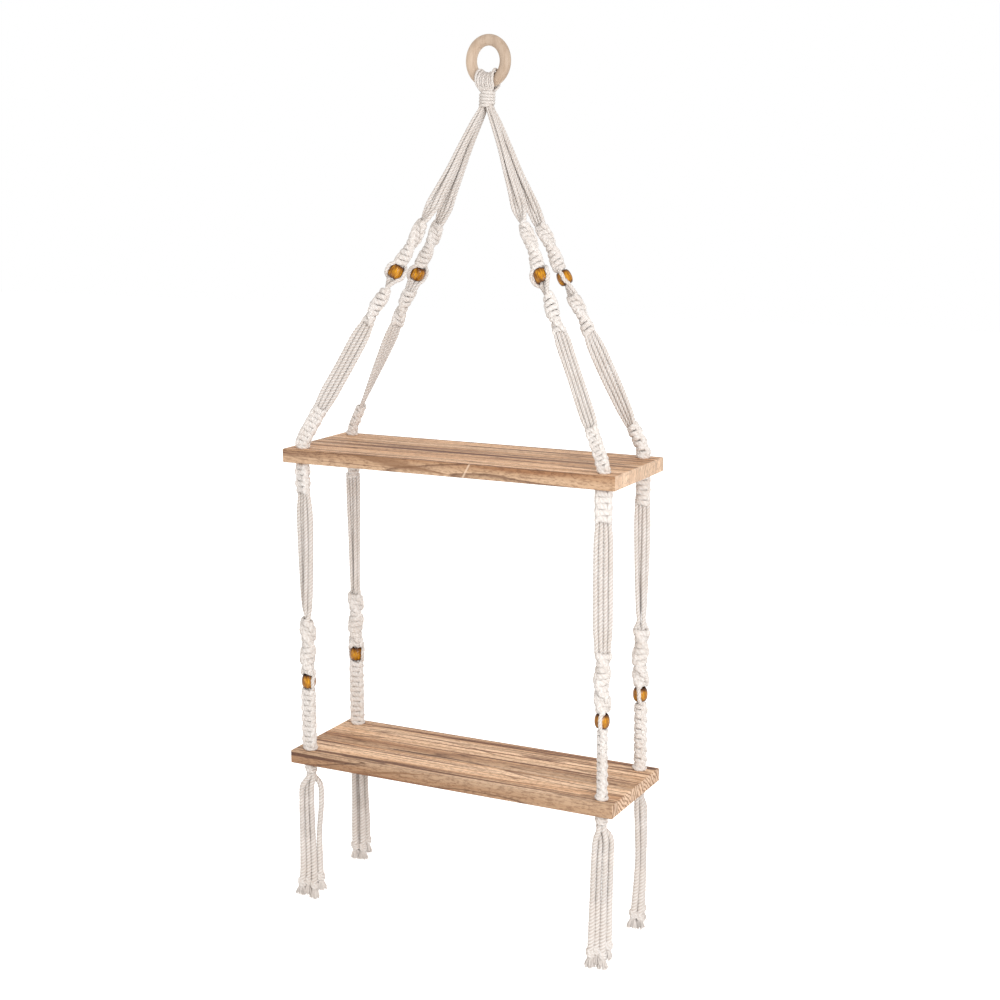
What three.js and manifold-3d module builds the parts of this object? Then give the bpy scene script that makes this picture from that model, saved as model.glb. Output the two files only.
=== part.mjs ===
// A hanging rope shelf: two wooden boards on four knotted cotton legs under one wooden ring.
// Lengths are in millimetres and angles in degrees. Z is up, the wall is behind (+Y).
// The origin is where a hook carries the ring: the top of the ring's hole.
import * as THREE from "three";
import { mergeVertices } from "three/addons/utils/BufferGeometryUtils.js";
import Module from "manifold-3d";

const wasm = await Module();
wasm.setup();

// Fits between pieces
const seatGap = 0.3;
const loopClearance = 0.95;
const holeClearance = 0.6;

// Ring
const ringRadius = 23;
const ringTubeRadius = 6.4;
const ringTurn = -7;

// Boards
const boardLength = 420;
const boardDepth = 137;
const boardThickness = 16;
const boardEase = 0.8;
const holeDiameter = 11;
const holeEndInset = 19;
const holeSideInset = 14;
const shelfDrop = 454;
const shelfForward = 51;
const tierDrop = 367;

// Cord
const cordDiameter = 4.5;

// Head: the loops over the ring and the winding that gathers them
const loopCount = 8;
const loopsWidth = 26;
const neckLength = 5.5;
const neckRadius = 5.6;
const neckRise = 1.5;
const wrapCordDiameter = 3.1;
const wrapPitch = 3.55;
const wrapTurns = 5.5;
const wrapForward = 2.6;
const wrapLean = 6;

// Knotwork
const runWidth = 17.5;
const runThickness = 5;
const spiralWidth = 16.5;
const spiralThickness = 11.5;
const sennitWidth = 15;
const sennitThickness = 9;
const ridgeDepth = 1.2;
const ridgePitch = 7.5;
const squareKnotPitch = 10.7;
const upperHalfTurnLength = 33;
const lowerHalfTurnLength = 28;

// Beads
const beadRadius = 8.5;
const beadEndRadius = 6.2;
const beadLength = 16;
const beadBoreRadius = 4.6;

// Places along an upper leg, counted from the winding
const upperBeadPlace = 203;
const aboveBeadLength = 57;
const smoothLength = 14;
const belowBeadLength = 46;
const frontSennitLength = 44;
const backSennitLength = 32;
const kneeRise = 8;
const legSpread = 2.9;
const bunchLength = 42;

// Places under the upper board, counted from its underside
const underSennitLength = 36;
const usualBeadDrop = 260;
const frontLeftBeadDrop = 266;
const lowerSpiralLength = 68;

// Knots and strands under the lower board
const stopperRadius = 7.6;
const stopperLength = 13;
const strandPitch = 5.2;
const tipKnotRadius = 3;
const tipKnotLength = 8;
const tipRadius = 2.9;
const tipLength = 9;

// How far each leg's knotwork is turned about the leg, from facing forward, at its knots and beads,
// where its lower bead sits, and how its tassel's strands bow
const legs = [
  {
    name: "front_left",
    side: -1,
    row: -1,
    aboveBeadTurn: 87,
    upperBeadTurn: 27,
    belowBeadTurn: -61,
    shelfKnotTurn: 20,
    underKnotTurn: -13,
    lowerKnotTurn: 23,
    lowerBeadTurn: -33,
    lowerBeadDrop: frontLeftBeadDrop,
    lowerGather: 0.75,
    strandLength: 148,
    lateral: [
      [-2.6, -6.5, -8, -8.6, -8.2, -12],
      [-2.6, -2.8, -2.8, -2.6, -0.8, -3.5],
      [2.6, 3.4, 3.6, 3.9, 7.6, 6.5],
      [2.6, 12.5, 16, 17.2, 16.6, 16.8],
    ],
  },
  {
    name: "front_right",
    side: 1,
    row: -1,
    aboveBeadTurn: 70,
    upperBeadTurn: -3,
    belowBeadTurn: -61,
    shelfKnotTurn: -3,
    underKnotTurn: 0,
    lowerKnotTurn: 121,
    lowerBeadTurn: -78,
    lowerBeadDrop: usualBeadDrop,
    lowerGather: 1,
    strandLength: 158,
    lateral: [
      [-2.6, -7.5, -11, -12.8, -14.4, -14.6],
      [-2.6, -4.6, -6.4, -7, -6.6, -7.4],
      [2.6, 2.4, 1.8, 1.4, 1.2, -0.4],
      [2.6, 8.8, 9.6, 8.4, 7.2, 5.4],
    ],
  },
  {
    name: "back_left",
    side: -1,
    row: 1,
    aboveBeadTurn: 96,
    upperBeadTurn: 52,
    belowBeadTurn: -6,
    shelfKnotTurn: -63,
    underKnotTurn: 10,
    lowerKnotTurn: 58,
    lowerBeadTurn: -20,
    lowerBeadDrop: usualBeadDrop,
    lowerGather: 0.6,
    strandLength: 138,
    lateral: [
      [-2.6, -5.4, -6.2, -6.3, -6.6, -6.2],
      [-2.6, -1.6, -0.8, -0.6, -1.4, -1.8],
      [2.6, 3.2, 3.6, 3.4, 3.4, 3],
      [2.6, 5.8, 7.4, 8.2, 9.6, 9.2],
    ],
  },
  {
    name: "back_right",
    side: 1,
    row: 1,
    aboveBeadTurn: 105,
    upperBeadTurn: -72,
    belowBeadTurn: 6,
    shelfKnotTurn: -25,
    underKnotTurn: 0,
    lowerKnotTurn: 104,
    lowerBeadTurn: -75,
    lowerBeadDrop: usualBeadDrop,
    lowerGather: 0.6,
    strandLength: 154,
    lateral: [
      [-2.6, -2.8, -1.8, -0.9, -3.4, -6.6],
      [-2.6, -1.4, -0.6, 0.2, -1.2, -2.4],
      [2.6, 3.6, 4.4, 4.8, 3.4, 1.8],
      [2.6, 6.4, 7, 6.6, 5.4, 4.6],
    ],
  },
];
const strandDropShares = [0, 0.1, 0.25, 0.5, 0.8, 1];
const strandShares = [0, 0.03, 0.09, 0.16, 0.25, 0.4, 0.55, 0.7, 0.85, 1];
const strandLengthShares = [1, 0.98, 1.01, 0.96];
const fanTurn = 27;

// Shape tables, as shares of the sizes they follow
const ribbonShares = [
  [1, 0],
  [0.86, 0.85],
  [0.5, 0.6],
  [0.25, 1],
  [0, 0.6],
  [-0.25, 1],
  [-0.5, 0.6],
  [-0.86, 0.85],
  [-1, 0],
  [-0.86, -0.85],
  [-0.5, -0.6],
  [-0.25, -1],
  [0, -0.6],
  [0.25, -1],
  [0.5, -0.6],
  [0.86, -0.85],
];
const beadProfileShares = [
  [0, -1],
  [0.75, -0.55],
  [1, 0],
  [0.75, 0.55],
  [0, 1],
];
const ringSides = 10;
const ringSteps = 30;
const ovalSides = 8;
const cordSides = 8;
const holeSides = 12;
const middleShare = 0.8;
const beadSides = 12;
const beadCordSteps = 6;
const neckShare = 0.82;
const loopArcAngles = [-45, -15, 15, 40, 65, 90, 115, 140, 165, 195, 225];
const beadPassShares = [
  [-2, 0.45],
  [-1.5, 0.64],
  [-1.12, 0.81],
  [-0.56, 0.975],
  [0, 1],
  [0.56, 0.975],
  [1.12, 0.81],
  [1.5, 0.64],
  [2, 0.45],
];
const runPlaceShares = [0, 0.3, 0.6, 0.85, 1];
const roundedEndShares = [0.04, 0.22, 0.6];
const stopperProfileShares = [
  [0, 0.86],
  [0.3, 1],
  [0.7, 1],
  [1, 0.74],
];

// Values that follow from the sizes above
const cordRadius = cordDiameter / 2;
const coreRadius = beadBoreRadius - seatGap;
const holeCordsRadius = holeDiameter / 2 - holeClearance;
const pivotRise = runWidth / 2 + seatGap;
const spiralStart = upperBeadPlace - beadLength / 2 - aboveBeadLength;
const lowerHalfStart = upperBeadPlace + beadLength / 2 + smoothLength;
const spiralEnd = lowerHalfStart + belowBeadLength;
const degree = Math.PI / 180;
const ringCentreDrop = ringRadius - ringTubeRadius;
const ringFootDrop = 2 * ringRadius;
const wrapTopDrop = ringFootDrop + neckLength;
const wrapLength = wrapTurns * wrapPitch + wrapCordDiameter;
const holeX = boardLength / 2 - holeEndInset;
const holeY = boardDepth / 2 - holeSideInset;
const upperUnderside = -shelfDrop - boardThickness;
const lowerTop = -shelfDrop - tierDrop;
const lowerUnderside = lowerTop - boardThickness;
const rowY = (row) => row * holeY - shelfForward;

const cotton = new THREE.MeshStandardMaterial({ color: 0xeee8df, roughness: 0.95 });
const paleWood = new THREE.MeshStandardMaterial({ color: 0xe3c49c, roughness: 0.55 });
const boardWood = new THREE.MeshStandardMaterial({ color: 0xc49a72, roughness: 0.6 });
const amber = new THREE.MeshStandardMaterial({ color: 0xb8741c, roughness: 0.2 });

const shelf = new THREE.Group();

function addPiece(name, geometry, material) {
  const mesh = new THREE.Mesh(geometry, material);
  mesh.name = name;
  shelf.add(mesh);
  return mesh;
}

// Solids joined with manifold-3d
function solidOf(geometry) {
  const bare = geometry.clone();
  bare.deleteAttribute("normal");
  bare.deleteAttribute("uv");
  const merged = mergeVertices(bare);
  return new wasm.Manifold(
    new wasm.Mesh({
      numProp: 3,
      vertProperties: new Float32Array(merged.attributes.position.array),
      triVerts: new Uint32Array(merged.index.array),
    }),
  );
}

function joined(geometries) {
  const whole = geometries.map(solidOf).reduce((sum, next) => sum.add(next));
  const mesh = whole.getMesh();
  const geometry = new THREE.BufferGeometry();
  geometry.setAttribute("position", new THREE.BufferAttribute(mesh.vertProperties, mesh.numProp));
  geometry.setIndex(new THREE.BufferAttribute(mesh.triVerts, 1));
  geometry.computeVertexNormals();
  return geometry;
}

function signedVolume(points, triangles) {
  let volume = 0;
  for (const [a, b, c] of triangles) {
    volume += points[a].dot(new THREE.Vector3().crossVectors(points[b], points[c]));
  }
  return volume;
}

// A closed body through rings of equally many points, with flat ends
function loft(rings) {
  const count = rings[0].length;
  const points = rings.flat();
  const triangles = [];
  for (let i = 0; i + 1 < rings.length; i += 1) {
    for (let j = 0; j < count; j += 1) {
      const near = i * count + j;
      const beside = i * count + ((j + 1) % count);
      triangles.push([near, beside, near + count], [beside, beside + count, near + count]);
    }
  }
  for (const [ring, turned] of [[0, true], [rings.length - 1, false]]) {
    const centre = points.length;
    const middle = new THREE.Vector3();
    rings[ring].forEach((point) => middle.addScaledVector(point, 1 / count));
    points.push(middle);
    for (let j = 0; j < count; j += 1) {
      const a = ring * count + j;
      const b = ring * count + ((j + 1) % count);
      triangles.push(turned ? [centre, b, a] : [centre, a, b]);
    }
  }
  if (signedVolume(points, triangles) < 0) triangles.forEach((corners) => corners.reverse());
  const geometry = new THREE.BufferGeometry().setFromPoints(points);
  geometry.setIndex(triangles.flat());
  geometry.computeVertexNormals();
  return geometry;
}

// Directions across a leg at a place: width and depth of its knotwork at a turn
function across(tangent, turn) {
  const sideways = new THREE.Vector3(1, 0, 0).addScaledVector(tangent, -tangent.x).normalize();
  const inward = new THREE.Vector3().crossVectors(sideways, tangent);
  const c = Math.cos(turn * degree);
  const s = Math.sin(turn * degree);
  return {
    width: sideways.clone().multiplyScalar(c).addScaledVector(inward, s),
    depth: sideways.clone().multiplyScalar(-s).addScaledVector(inward, c),
  };
}

// One ring of a body: outline shares scaled to a width and a thickness, set across a leg
function station(leg, place, turn, width, thickness, outline, facing) {
  const { point, tangent } = leg.at(place);
  const axes = across(facing ?? tangent, turn);
  return outline.map(([w, t]) =>
    point
      .clone()
      .addScaledVector(axes.width, (w * width) / 2)
      .addScaledVector(axes.depth, (t * thickness) / 2),
  );
}

const ovalShares = Array.from({ length: ovalSides }, (_, i) => {
  const angle = (2 * Math.PI * i) / ovalSides;
  return [Math.cos(angle), Math.sin(angle)];
});

// A straight leg from one point to another, and the bent foot of an upper leg
function straightLeg(top, end) {
  const tangent = end.clone().sub(top).normalize();
  return {
    at: (place) => ({ point: top.clone().addScaledVector(tangent, place), tangent }),
  };
}

function bentLeg(top, knee) {
  const slope = knee.clone().sub(top).normalize();
  const down = new THREE.Vector3(0, 0, -1);
  const bend = new THREE.QuadraticBezierCurve3(
    knee.clone().addScaledVector(slope, -kneeRise),
    knee,
    knee.clone().addScaledVector(down, kneeRise),
  );
  const kneePlace = knee.distanceTo(top);
  return {
    kneePlace,
    at: (place) => {
      const past = (place - kneePlace + kneeRise) / (2 * kneeRise);
      if (past <= 0) return { point: top.clone().addScaledVector(slope, place), tangent: slope };
      if (past >= 1) {
        const point = bend.v2.clone().addScaledVector(down, place - kneePlace - kneeRise);
        return { point, tangent: down };
      }
      return { point: bend.getPoint(past), tangent: bend.getTangent(past) };
    },
  };
}

// The ridged bodies of the knots: one crest and one valley for each knot
function ridged(leg, from, to, pitch, turnAt, width, thickness) {
  const count = Math.max(1, Math.round((to - from) / pitch));
  const rings = [];
  for (let i = 0; i <= 2 * count; i += 1) {
    const place = from + ((to - from) * i) / (2 * count);
    const cut = i % 2 === 0 ? 2 * ridgeDepth : 0;
    rings.push(station(leg, place, turnAt(place), width - cut, thickness - cut, ovalShares));
  }
  return rings;
}

// Four cords side by side, turning from one knot's facing to the next and gathered towards the foot
function cordRun(leg, from, to, turnFrom, turnTo, gather) {
  const narrowings = [1, 1, (1 + gather) / 2, gather, gather];
  return runPlaceShares.map((share, i) => {
    const place = from + (to - from) * share;
    const turn = turnFrom + (turnTo - turnFrom) * share;
    return station(leg, place, turn, runWidth * narrowings[i], runThickness / narrowings[i], ribbonShares);
  });
}

// Nearest facing to a wanted one, for knotwork that looks alike after half a turn
const nearestTurn = (turn, wanted) => turn + 180 * Math.round((wanted - turn) / 180);

function cordTube(points, steps) {
  const section = new THREE.Shape(
    Array.from({ length: cordSides }, (_, i) => {
      const angle = (2 * Math.PI * i) / cordSides;
      return new THREE.Vector2(cordRadius * Math.cos(angle), cordRadius * Math.sin(angle));
    }),
  );
  const extrudePath = new THREE.CatmullRomCurve3(points);
  return new THREE.ExtrudeGeometry(section, { steps, bevelEnabled: false, extrudePath });
}

// Cords at a bead: the fillers through its bore and a working cord round each side
function beadCords(leg, place, turn) {
  const overlapLength = cordDiameter;
  const half = beadLength / 2 + seatGap + overlapLength;
  const round = 2 * coreRadius;
  const core = loft([-half, half].map((step) => station(leg, place + step, turn, round, round, ovalShares)));
  const passRadius = beadRadius + seatGap + cordRadius;
  const passes = [-1, 1].map((side) => {
    const points = beadPassShares.map(([along, out]) => {
      const { point, tangent } = leg.at(place + (along * beadLength) / 2);
      return point.clone().addScaledVector(across(tangent, turn).width, side * out * passRadius);
    });
    return cordTube(points, beadCordSteps);
  });
  return [core, ...passes];
}

function bead(leg, place) {
  const half = beadLength / 2;
  const swell = beadRadius - beadEndRadius;
  const outer = beadProfileShares.map(([out, along]) => new THREE.Vector2(beadEndRadius + swell * out, along * half));
  const bore = [half, -half].map((along) => new THREE.Vector2(beadBoreRadius, along));
  const profile = [bore[1], ...outer, ...bore];
  const { point, tangent } = leg.at(place);
  const geometry = new THREE.LatheGeometry(profile, beadSides);
  geometry.applyQuaternion(new THREE.Quaternion().setFromUnitVectors(new THREE.Vector3(0, 1, 0), tangent));
  geometry.translate(point.x, point.y, point.z);
  return geometry;
}

// Ring
function ring() {
  const geometry = new THREE.TorusGeometry(ringRadius, ringTubeRadius, ringSides, ringSteps);
  geometry.rotateX(Math.PI / 2);
  geometry.rotateZ(ringTurn * degree);
  geometry.translate(0, 0, -ringCentreDrop);
  return geometry;
}

// Eight cords side by side over the ring's foot, as one lobed band that meets under it
function loopBand() {
  const pitch = (loopsWidth - cordDiameter) / (loopCount - 1);
  const outline = [];
  for (let i = 0; i < loopCount; i += 1) {
    outline.push([(i - (loopCount - 1) / 2) * pitch, cordRadius]);
    if (i + 1 < loopCount) outline.push([(i + 1 - loopCount / 2) * pitch, cordRadius / 2]);
  }
  outline.push([loopsWidth / 2, 0]);
  for (let i = loopCount - 1; i >= 0; i -= 2) {
    outline.push([(i - (loopCount - 1) / 2) * pitch, -cordRadius]);
  }
  outline.push([(-(loopCount - 1) / 2) * pitch, -cordRadius], [-loopsWidth / 2, 0]);
  const narrowing = (2 * neckRadius * neckShare) / loopsWidth;
  const seat = ringTubeRadius + loopClearance + cordRadius;
  const onRing = (angle) =>
    outline.map(([x, out]) => {
      const rise = Math.sqrt(ringRadius ** 2 - x ** 2);
      const high = (ringTubeRadius * ringRadius) / rise + loopClearance + cordRadius + out;
      return new THREE.Vector3(
        x,
        -Math.cos(angle) * (seat + out),
        Math.sin(angle) * high - ringCentreDrop - rise,
      );
    });
  const inNeck = (front) =>
    outline.map(([x, out]) => {
      const y = front * (cordRadius + out / 2) - wrapForward;
      return new THREE.Vector3(x * narrowing, y, seatGap - wrapTopDrop);
    });
  const rings = [inNeck(-1), ...loopArcAngles.map((angle) => onRing(angle * degree)), inNeck(1)];
  return loft(rings);
}

const wrapDirection = new THREE.Vector3(0, -Math.sin(wrapLean * degree), -Math.cos(wrapLean * degree));
const wrapTop = new THREE.Vector3(0, -wrapForward, -wrapTopDrop);
const wrapAxis = straightLeg(wrapTop, wrapTop.clone().add(wrapDirection));

function headLoops() {
  const band = loopBand();
  band.rotateZ(ringTurn * degree);
  const neckEnds = [-neckRise, wrapLength];
  const round = 2 * neckRadius;
  const neck = loft(neckEnds.map((place) => station(wrapAxis, place, 0, round, round, ovalShares)));
  return joined([band, neck]);
}

// The winding: one unbroken cord whose ends run straight
function headWrap() {
  const stepsPerTurn = 24;
  const sides = 6;
  const tube = wrapCordDiameter / 2;
  const radius = neckRadius + seatGap + tube;
  const steps = Math.round(wrapTurns * stepsPerTurn);
  const centre = (step) => {
    const angle = (2 * Math.PI * step) / stepsPerTurn;
    const along = tube + (wrapPitch * step) / stepsPerTurn;
    return wrapAxis
      .at(along)
      .point.add(new THREE.Vector3(radius * Math.sin(angle), -radius * Math.cos(angle), 0));
  };
  const centres = Array.from({ length: steps + 1 }, (_, i) => centre(i));
  const first = centres[0].clone().sub(centres[1]).setLength(wrapCordDiameter);
  const last = centres[steps].clone().sub(centres[steps - 1]).setLength(wrapCordDiameter);
  centres.unshift(centres[0].clone().add(first));
  centres.push(centres[steps + 1].clone().add(last));
  const rings = centres.map((point, i) => {
    const ahead = centres[Math.min(i + 1, centres.length - 1)];
    const behind = centres[Math.max(i - 1, 0)];
    const tangent = ahead.clone().sub(behind).normalize();
    const upward = wrapDirection.clone().addScaledVector(tangent, -wrapDirection.dot(tangent)).normalize();
    const outward = new THREE.Vector3().crossVectors(tangent, upward);
    return Array.from({ length: sides }, (_, side) => {
      const angle = (2 * Math.PI * side) / sides;
      return point
        .clone()
        .addScaledVector(upward, tube * Math.cos(angle))
        .addScaledVector(outward, tube * Math.sin(angle));
    });
  });
  let leastGap = Infinity;
  centres.forEach((point, i) => {
    for (let j = i + stepsPerTurn / 2; j < centres.length; j += 1) {
      leastGap = Math.min(leastGap, point.distanceTo(centres[j]) - wrapCordDiameter);
    }
  });
  console.log("winding: least gap to itself " + leastGap.toFixed(2) + " mm");
  return loft(rings);
}

// Outlines of a board, drawn in from its edges and out from its holes by an ease
const boardCorners = [
  [-1, -1],
  [-middleShare, -1],
  [middleShare, -1],
  [1, -1],
  [1, 1],
  [middleShare, 1],
  [-middleShare, 1],
  [-1, 1],
];

function boardEdge(ease) {
  return boardCorners.map(([x, y]) => {
    const inset = Math.abs(x) === 1 ? ease : 0;
    return new THREE.Vector2((x * boardLength) / 2 - x * inset, y * (boardDepth / 2 - ease));
  });
}

function holeEdge(side, row, ease) {
  return Array.from({ length: holeSides }, (_, i) => {
    const angle = (-2 * Math.PI * i) / holeSides;
    const radius = holeDiameter / 2 + ease;
    return new THREE.Vector2(side * holeX + radius * Math.cos(angle), row * holeY + radius * Math.sin(angle));
  });
}

// One face of a board: a clear middle and two ends with their holes
function boardFace(height, turned) {
  const edge = boardEdge(boardEase);
  const panels = [
    { corners: [0, 1, 6, 7], side: -1 },
    { corners: [1, 2, 5, 6], side: 0 },
    { corners: [2, 3, 4, 5], side: 1 },
  ];
  const points = [];
  for (const { corners, side } of panels) {
    const outline = new THREE.Shape(corners.map((corner) => edge[corner]));
    if (side !== 0) {
      outline.holes = [-1, 1].map((row) => new THREE.Path(holeEdge(side, row, boardEase)));
    }
    const flat = new THREE.ShapeGeometry(outline).toNonIndexed().getAttribute("position");
    for (let i = 0; i < flat.count; i += 3) {
      const order = turned ? [i, i + 2, i + 1] : [i, i + 1, i + 2];
      order.forEach((k) => points.push(new THREE.Vector3(flat.getX(k), flat.getY(k), height)));
    }
  }
  return points;
}

// A wall between two outlines at two heights
function wall(upper, upperHeight, lower, lowerHeight) {
  const points = [];
  upper.forEach((_, i) => {
    const next = (i + 1) % upper.length;
    const a = new THREE.Vector3(upper[i].x, upper[i].y, upperHeight);
    const b = new THREE.Vector3(upper[next].x, upper[next].y, upperHeight);
    const c = new THREE.Vector3(lower[i].x, lower[i].y, lowerHeight);
    const d = new THREE.Vector3(lower[next].x, lower[next].y, lowerHeight);
    points.push(a, c, b, b, c, d);
  });
  return points;
}

function board(top) {
  const bottom = top - boardThickness;
  const points = [...boardFace(top, false), ...boardFace(bottom, true)];
  const edges = [boardEdge];
  for (const side of [-1, 1]) {
    for (const row of [-1, 1]) edges.push((ease) => holeEdge(side, row, ease));
  }
  for (const edge of edges) {
    points.push(...wall(edge(boardEase), top, edge(0), top - boardEase));
    points.push(...wall(edge(0), top - boardEase, edge(0), bottom + boardEase));
    points.push(...wall(edge(0), bottom + boardEase, edge(boardEase), bottom));
  }
  const geometry = new THREE.BufferGeometry().setFromPoints(points);
  geometry.translate(0, -shelfForward, 0);
  geometry.computeVertexNormals();
  return geometry;
}

// The upper leg: straight from under the winding to the knee above the board's hole
function upperLeg(leg) {
  const axes = across(wrapDirection, 0);
  const top = wrapAxis
    .at(wrapLength + seatGap)
    .point.addScaledVector(axes.width, leg.side * legSpread)
    .addScaledVector(axes.depth, leg.row * legSpread);
  const knee = new THREE.Vector3(leg.side * holeX, rowY(leg.row), -shelfDrop + kneeRise);
  return bentLeg(top, knee);
}

function lowerLeg(leg) {
  const top = new THREE.Vector3(leg.side * holeX, rowY(leg.row), upperUnderside);
  return straightLeg(top, top.clone().add(new THREE.Vector3(0, 0, -1)));
}

const upperSpin = (length) => (180 * length) / upperHalfTurnLength;
const lowerSpin = (length) => (180 * length) / lowerHalfTurnLength;

function topRun(leg, path) {
  const startTurn = nearestTurn(leg.aboveBeadTurn - upperSpin(aboveBeadLength), 0);
  const narrow = 2 * legSpread - 2 * seatGap;
  const halfBunch = (narrow + runThickness) / 2;
  const ends = [
    station(path, 0, 0, narrow, narrow, ribbonShares, wrapDirection),
    station(path, bunchLength / 3, 0, (narrow + runWidth) / 2, halfBunch, ribbonShares),
  ];
  return loft([...ends, ...cordRun(path, bunchLength, spiralStart - seatGap, 0, startTurn, 1)]);
}

// Where the square knots on the upper board begin, so that they do so level with each other on all legs
const sennitPlace = (leg, path) => path.kneePlace - (leg.row < 0 ? frontSennitLength : backSennitLength);

// Half knots that turn as they go, a bead, and half knots again
function upperSpiral(leg, path) {
  const beadTop = upperBeadPlace - beadLength / 2 - seatGap;
  const beadFoot = upperBeadPlace + beadLength / 2 + seatGap;
  const above = (place) => leg.aboveBeadTurn - upperSpin(beadTop - place);
  const below = (place) => leg.belowBeadTurn + upperSpin(place - lowerHalfStart);
  const firstTurn = nearestTurn(leg.belowBeadTurn, leg.upperBeadTurn);
  const smooth = [0, 0.5].map((share) => {
    const place = beadFoot + (lowerHalfStart - beadFoot) * share;
    const turn = leg.upperBeadTurn + (firstTurn - leg.upperBeadTurn) * share;
    return station(path, place, turn, sennitWidth, sennitThickness, ovalShares);
  });
  return joined([
    loft(ridged(path, spiralStart, beadTop, ridgePitch, above, spiralWidth, spiralThickness)),
    ...beadCords(path, upperBeadPlace, leg.upperBeadTurn),
    loft([...smooth, ...ridged(path, lowerHalfStart, spiralEnd, ridgePitch, below, spiralWidth, spiralThickness)]),
  ]);
}

function middleRun(leg, path) {
  const from = leg.belowBeadTurn + upperSpin(belowBeadLength);
  const to = nearestTurn(leg.shelfKnotTurn, from);
  return loft(cordRun(path, spiralEnd + seatGap, sennitPlace(leg, path) - seatGap, from, to, 1));
}

// The knots under the board face near the way that the knots on it do, so that the cords don't cross
const underTurn = (leg) => nearestTurn(leg.underKnotTurn, leg.shelfKnotTurn);

// Square knots standing on the upper board, the cords in its hole, and square knots under it
function shelfKnot(leg, path) {
  const holeTop = path.kneePlace + kneeRise;
  const holeFoot = holeTop + boardThickness;
  const sennit = (from, to, turn) =>
    ridged(path, from, to, squareKnotPitch, () => turn, sennitWidth, sennitThickness);
  const above = sennit(sennitPlace(leg, path), path.kneePlace, leg.shelfKnotTurn);
  const under = sennit(holeFoot + seatGap, holeFoot + underSennitLength, underTurn(leg));
  const seatPlace = holeTop - seatGap;
  const seat = station(path, seatPlace, leg.shelfKnotTurn, holeDiameter, sennitThickness, ovalShares);
  const round = 2 * holeCordsRadius;
  const neckTop = station(path, seatPlace, leg.shelfKnotTurn, round, round, ovalShares);
  const neckFoot = station(path, holeFoot + seatGap, underTurn(leg), round, round, ovalShares);
  return loft([...above, seat, neckTop, neckFoot, ...under]);
}

// A body's end rounded about a pivot that lies one pivotRise inside it
function roundedEnd(path, endPlace, into, turn, width, thickness, outline) {
  return roundedEndShares.map((share) => {
    const reach = Math.sqrt(1 - (1 - share) ** 2);
    const place = endPlace + into * share * pivotRise;
    return station(path, place, turn, Math.min(width, 2 * reach * pivotRise), thickness, outline);
  });
}

function lowerRun(leg, path) {
  const start = underSennitLength + seatGap;
  const end = leg.lowerBeadDrop - beadLength / 2 - lowerSpiralLength - seatGap;
  const from = underTurn(leg);
  const to = nearestTurn(leg.lowerKnotTurn - lowerSpin(lowerSpiralLength), from);
  const dome = roundedEnd(path, start, 1, from, runWidth, runThickness, ribbonShares);
  return loft([...dome, ...cordRun(path, start + pivotRise, end, from, to, leg.lowerGather)]);
}

// Half knots, the bead, and square knots down to the lower board
function lowerSennit(leg, path) {
  const beadTop = leg.lowerBeadDrop - beadLength / 2 - seatGap;
  const beadFoot = leg.lowerBeadDrop + beadLength / 2 + seatGap;
  const end = tierDrop - boardThickness - seatGap;
  const above = (place) => leg.lowerKnotTurn - lowerSpin(beadTop - place);
  const level = () => leg.lowerBeadTurn;
  const foot = roundedEnd(path, end, -1, leg.lowerBeadTurn, sennitWidth, sennitThickness, ovalShares).reverse();
  const flat = ridged(path, beadFoot, end - pivotRise, squareKnotPitch, level, sennitWidth, sennitThickness);
  return joined([
    loft(ridged(path, beadTop - lowerSpiralLength, beadTop, ridgePitch, above, spiralWidth, spiralThickness)),
    ...beadCords(path, leg.lowerBeadDrop, leg.lowerBeadTurn),
    loft([...flat, ...foot]),
  ]);
}

function stopperKnot(leg) {
  const top = new THREE.Vector3(leg.side * holeX, rowY(leg.row), lowerTop);
  const path = straightLeg(top, top.clone().add(new THREE.Vector3(0, 0, -1)));
  const round = 2 * holeCordsRadius;
  const neck = [seatGap, boardThickness + seatGap].map((place) => station(path, place, 0, round, round, ovalShares));
  const knot = stopperProfileShares.map(([along, out]) => {
    const place = boardThickness + seatGap + along * stopperLength;
    const girth = 2 * out * stopperRadius;
    return station(path, place, 0, girth, girth, ovalShares);
  });
  return loft([...neck, ...knot]);
}

// A free strand of a tassel: it leaves the knot straight and hangs in its own gentle bow
function strand(leg, index) {
  const length = leg.strandLength * strandLengthShares[index];
  const depth = index % 2 === 0 ? -strandPitch / 2 : strandPitch / 2;
  const c = Math.cos(fanTurn * degree);
  const s = Math.sin(fanTurn * degree);
  const exit = lowerUnderside - stopperLength - 2 * seatGap;
  const points = strandDropShares.map((share, i) => {
    const sideways = leg.lateral[index][i];
    return new THREE.Vector3(
      leg.side * holeX + c * sideways - s * depth,
      rowY(leg.row) + s * sideways + c * depth,
      exit - share * length,
    );
  });
  const straight = points[0].clone();
  straight.z -= cordDiameter;
  points.splice(1, 0, straight);
  const curve = new THREE.CatmullRomCurve3(points);
  const path = {
    at: (place) => ({ point: curve.getPointAt(place / length), tangent: curve.getTangentAt(place / length) }),
  };
  const plain = length - tipLength - tipKnotLength;
  const stations = strandShares.map((share) => [share * plain, cordRadius]);
  stations.push([plain + tipKnotLength / 3, tipKnotRadius], [plain + (tipKnotLength * 2) / 3, tipKnotRadius]);
  stations.push([plain + tipKnotLength, cordRadius], [length, tipRadius]);
  return loft(stations.map(([place, radius]) => station(path, place, 0, 2 * radius, 2 * radius, ovalShares)));
}

addPiece("ring", ring(), paleWood);
addPiece("head_loops", headLoops(), cotton);
addPiece("head_wrap", headWrap(), cotton);
addPiece("upper_shelf", board(-shelfDrop), boardWood);
addPiece("lower_shelf", board(lowerTop), boardWood);

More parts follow.
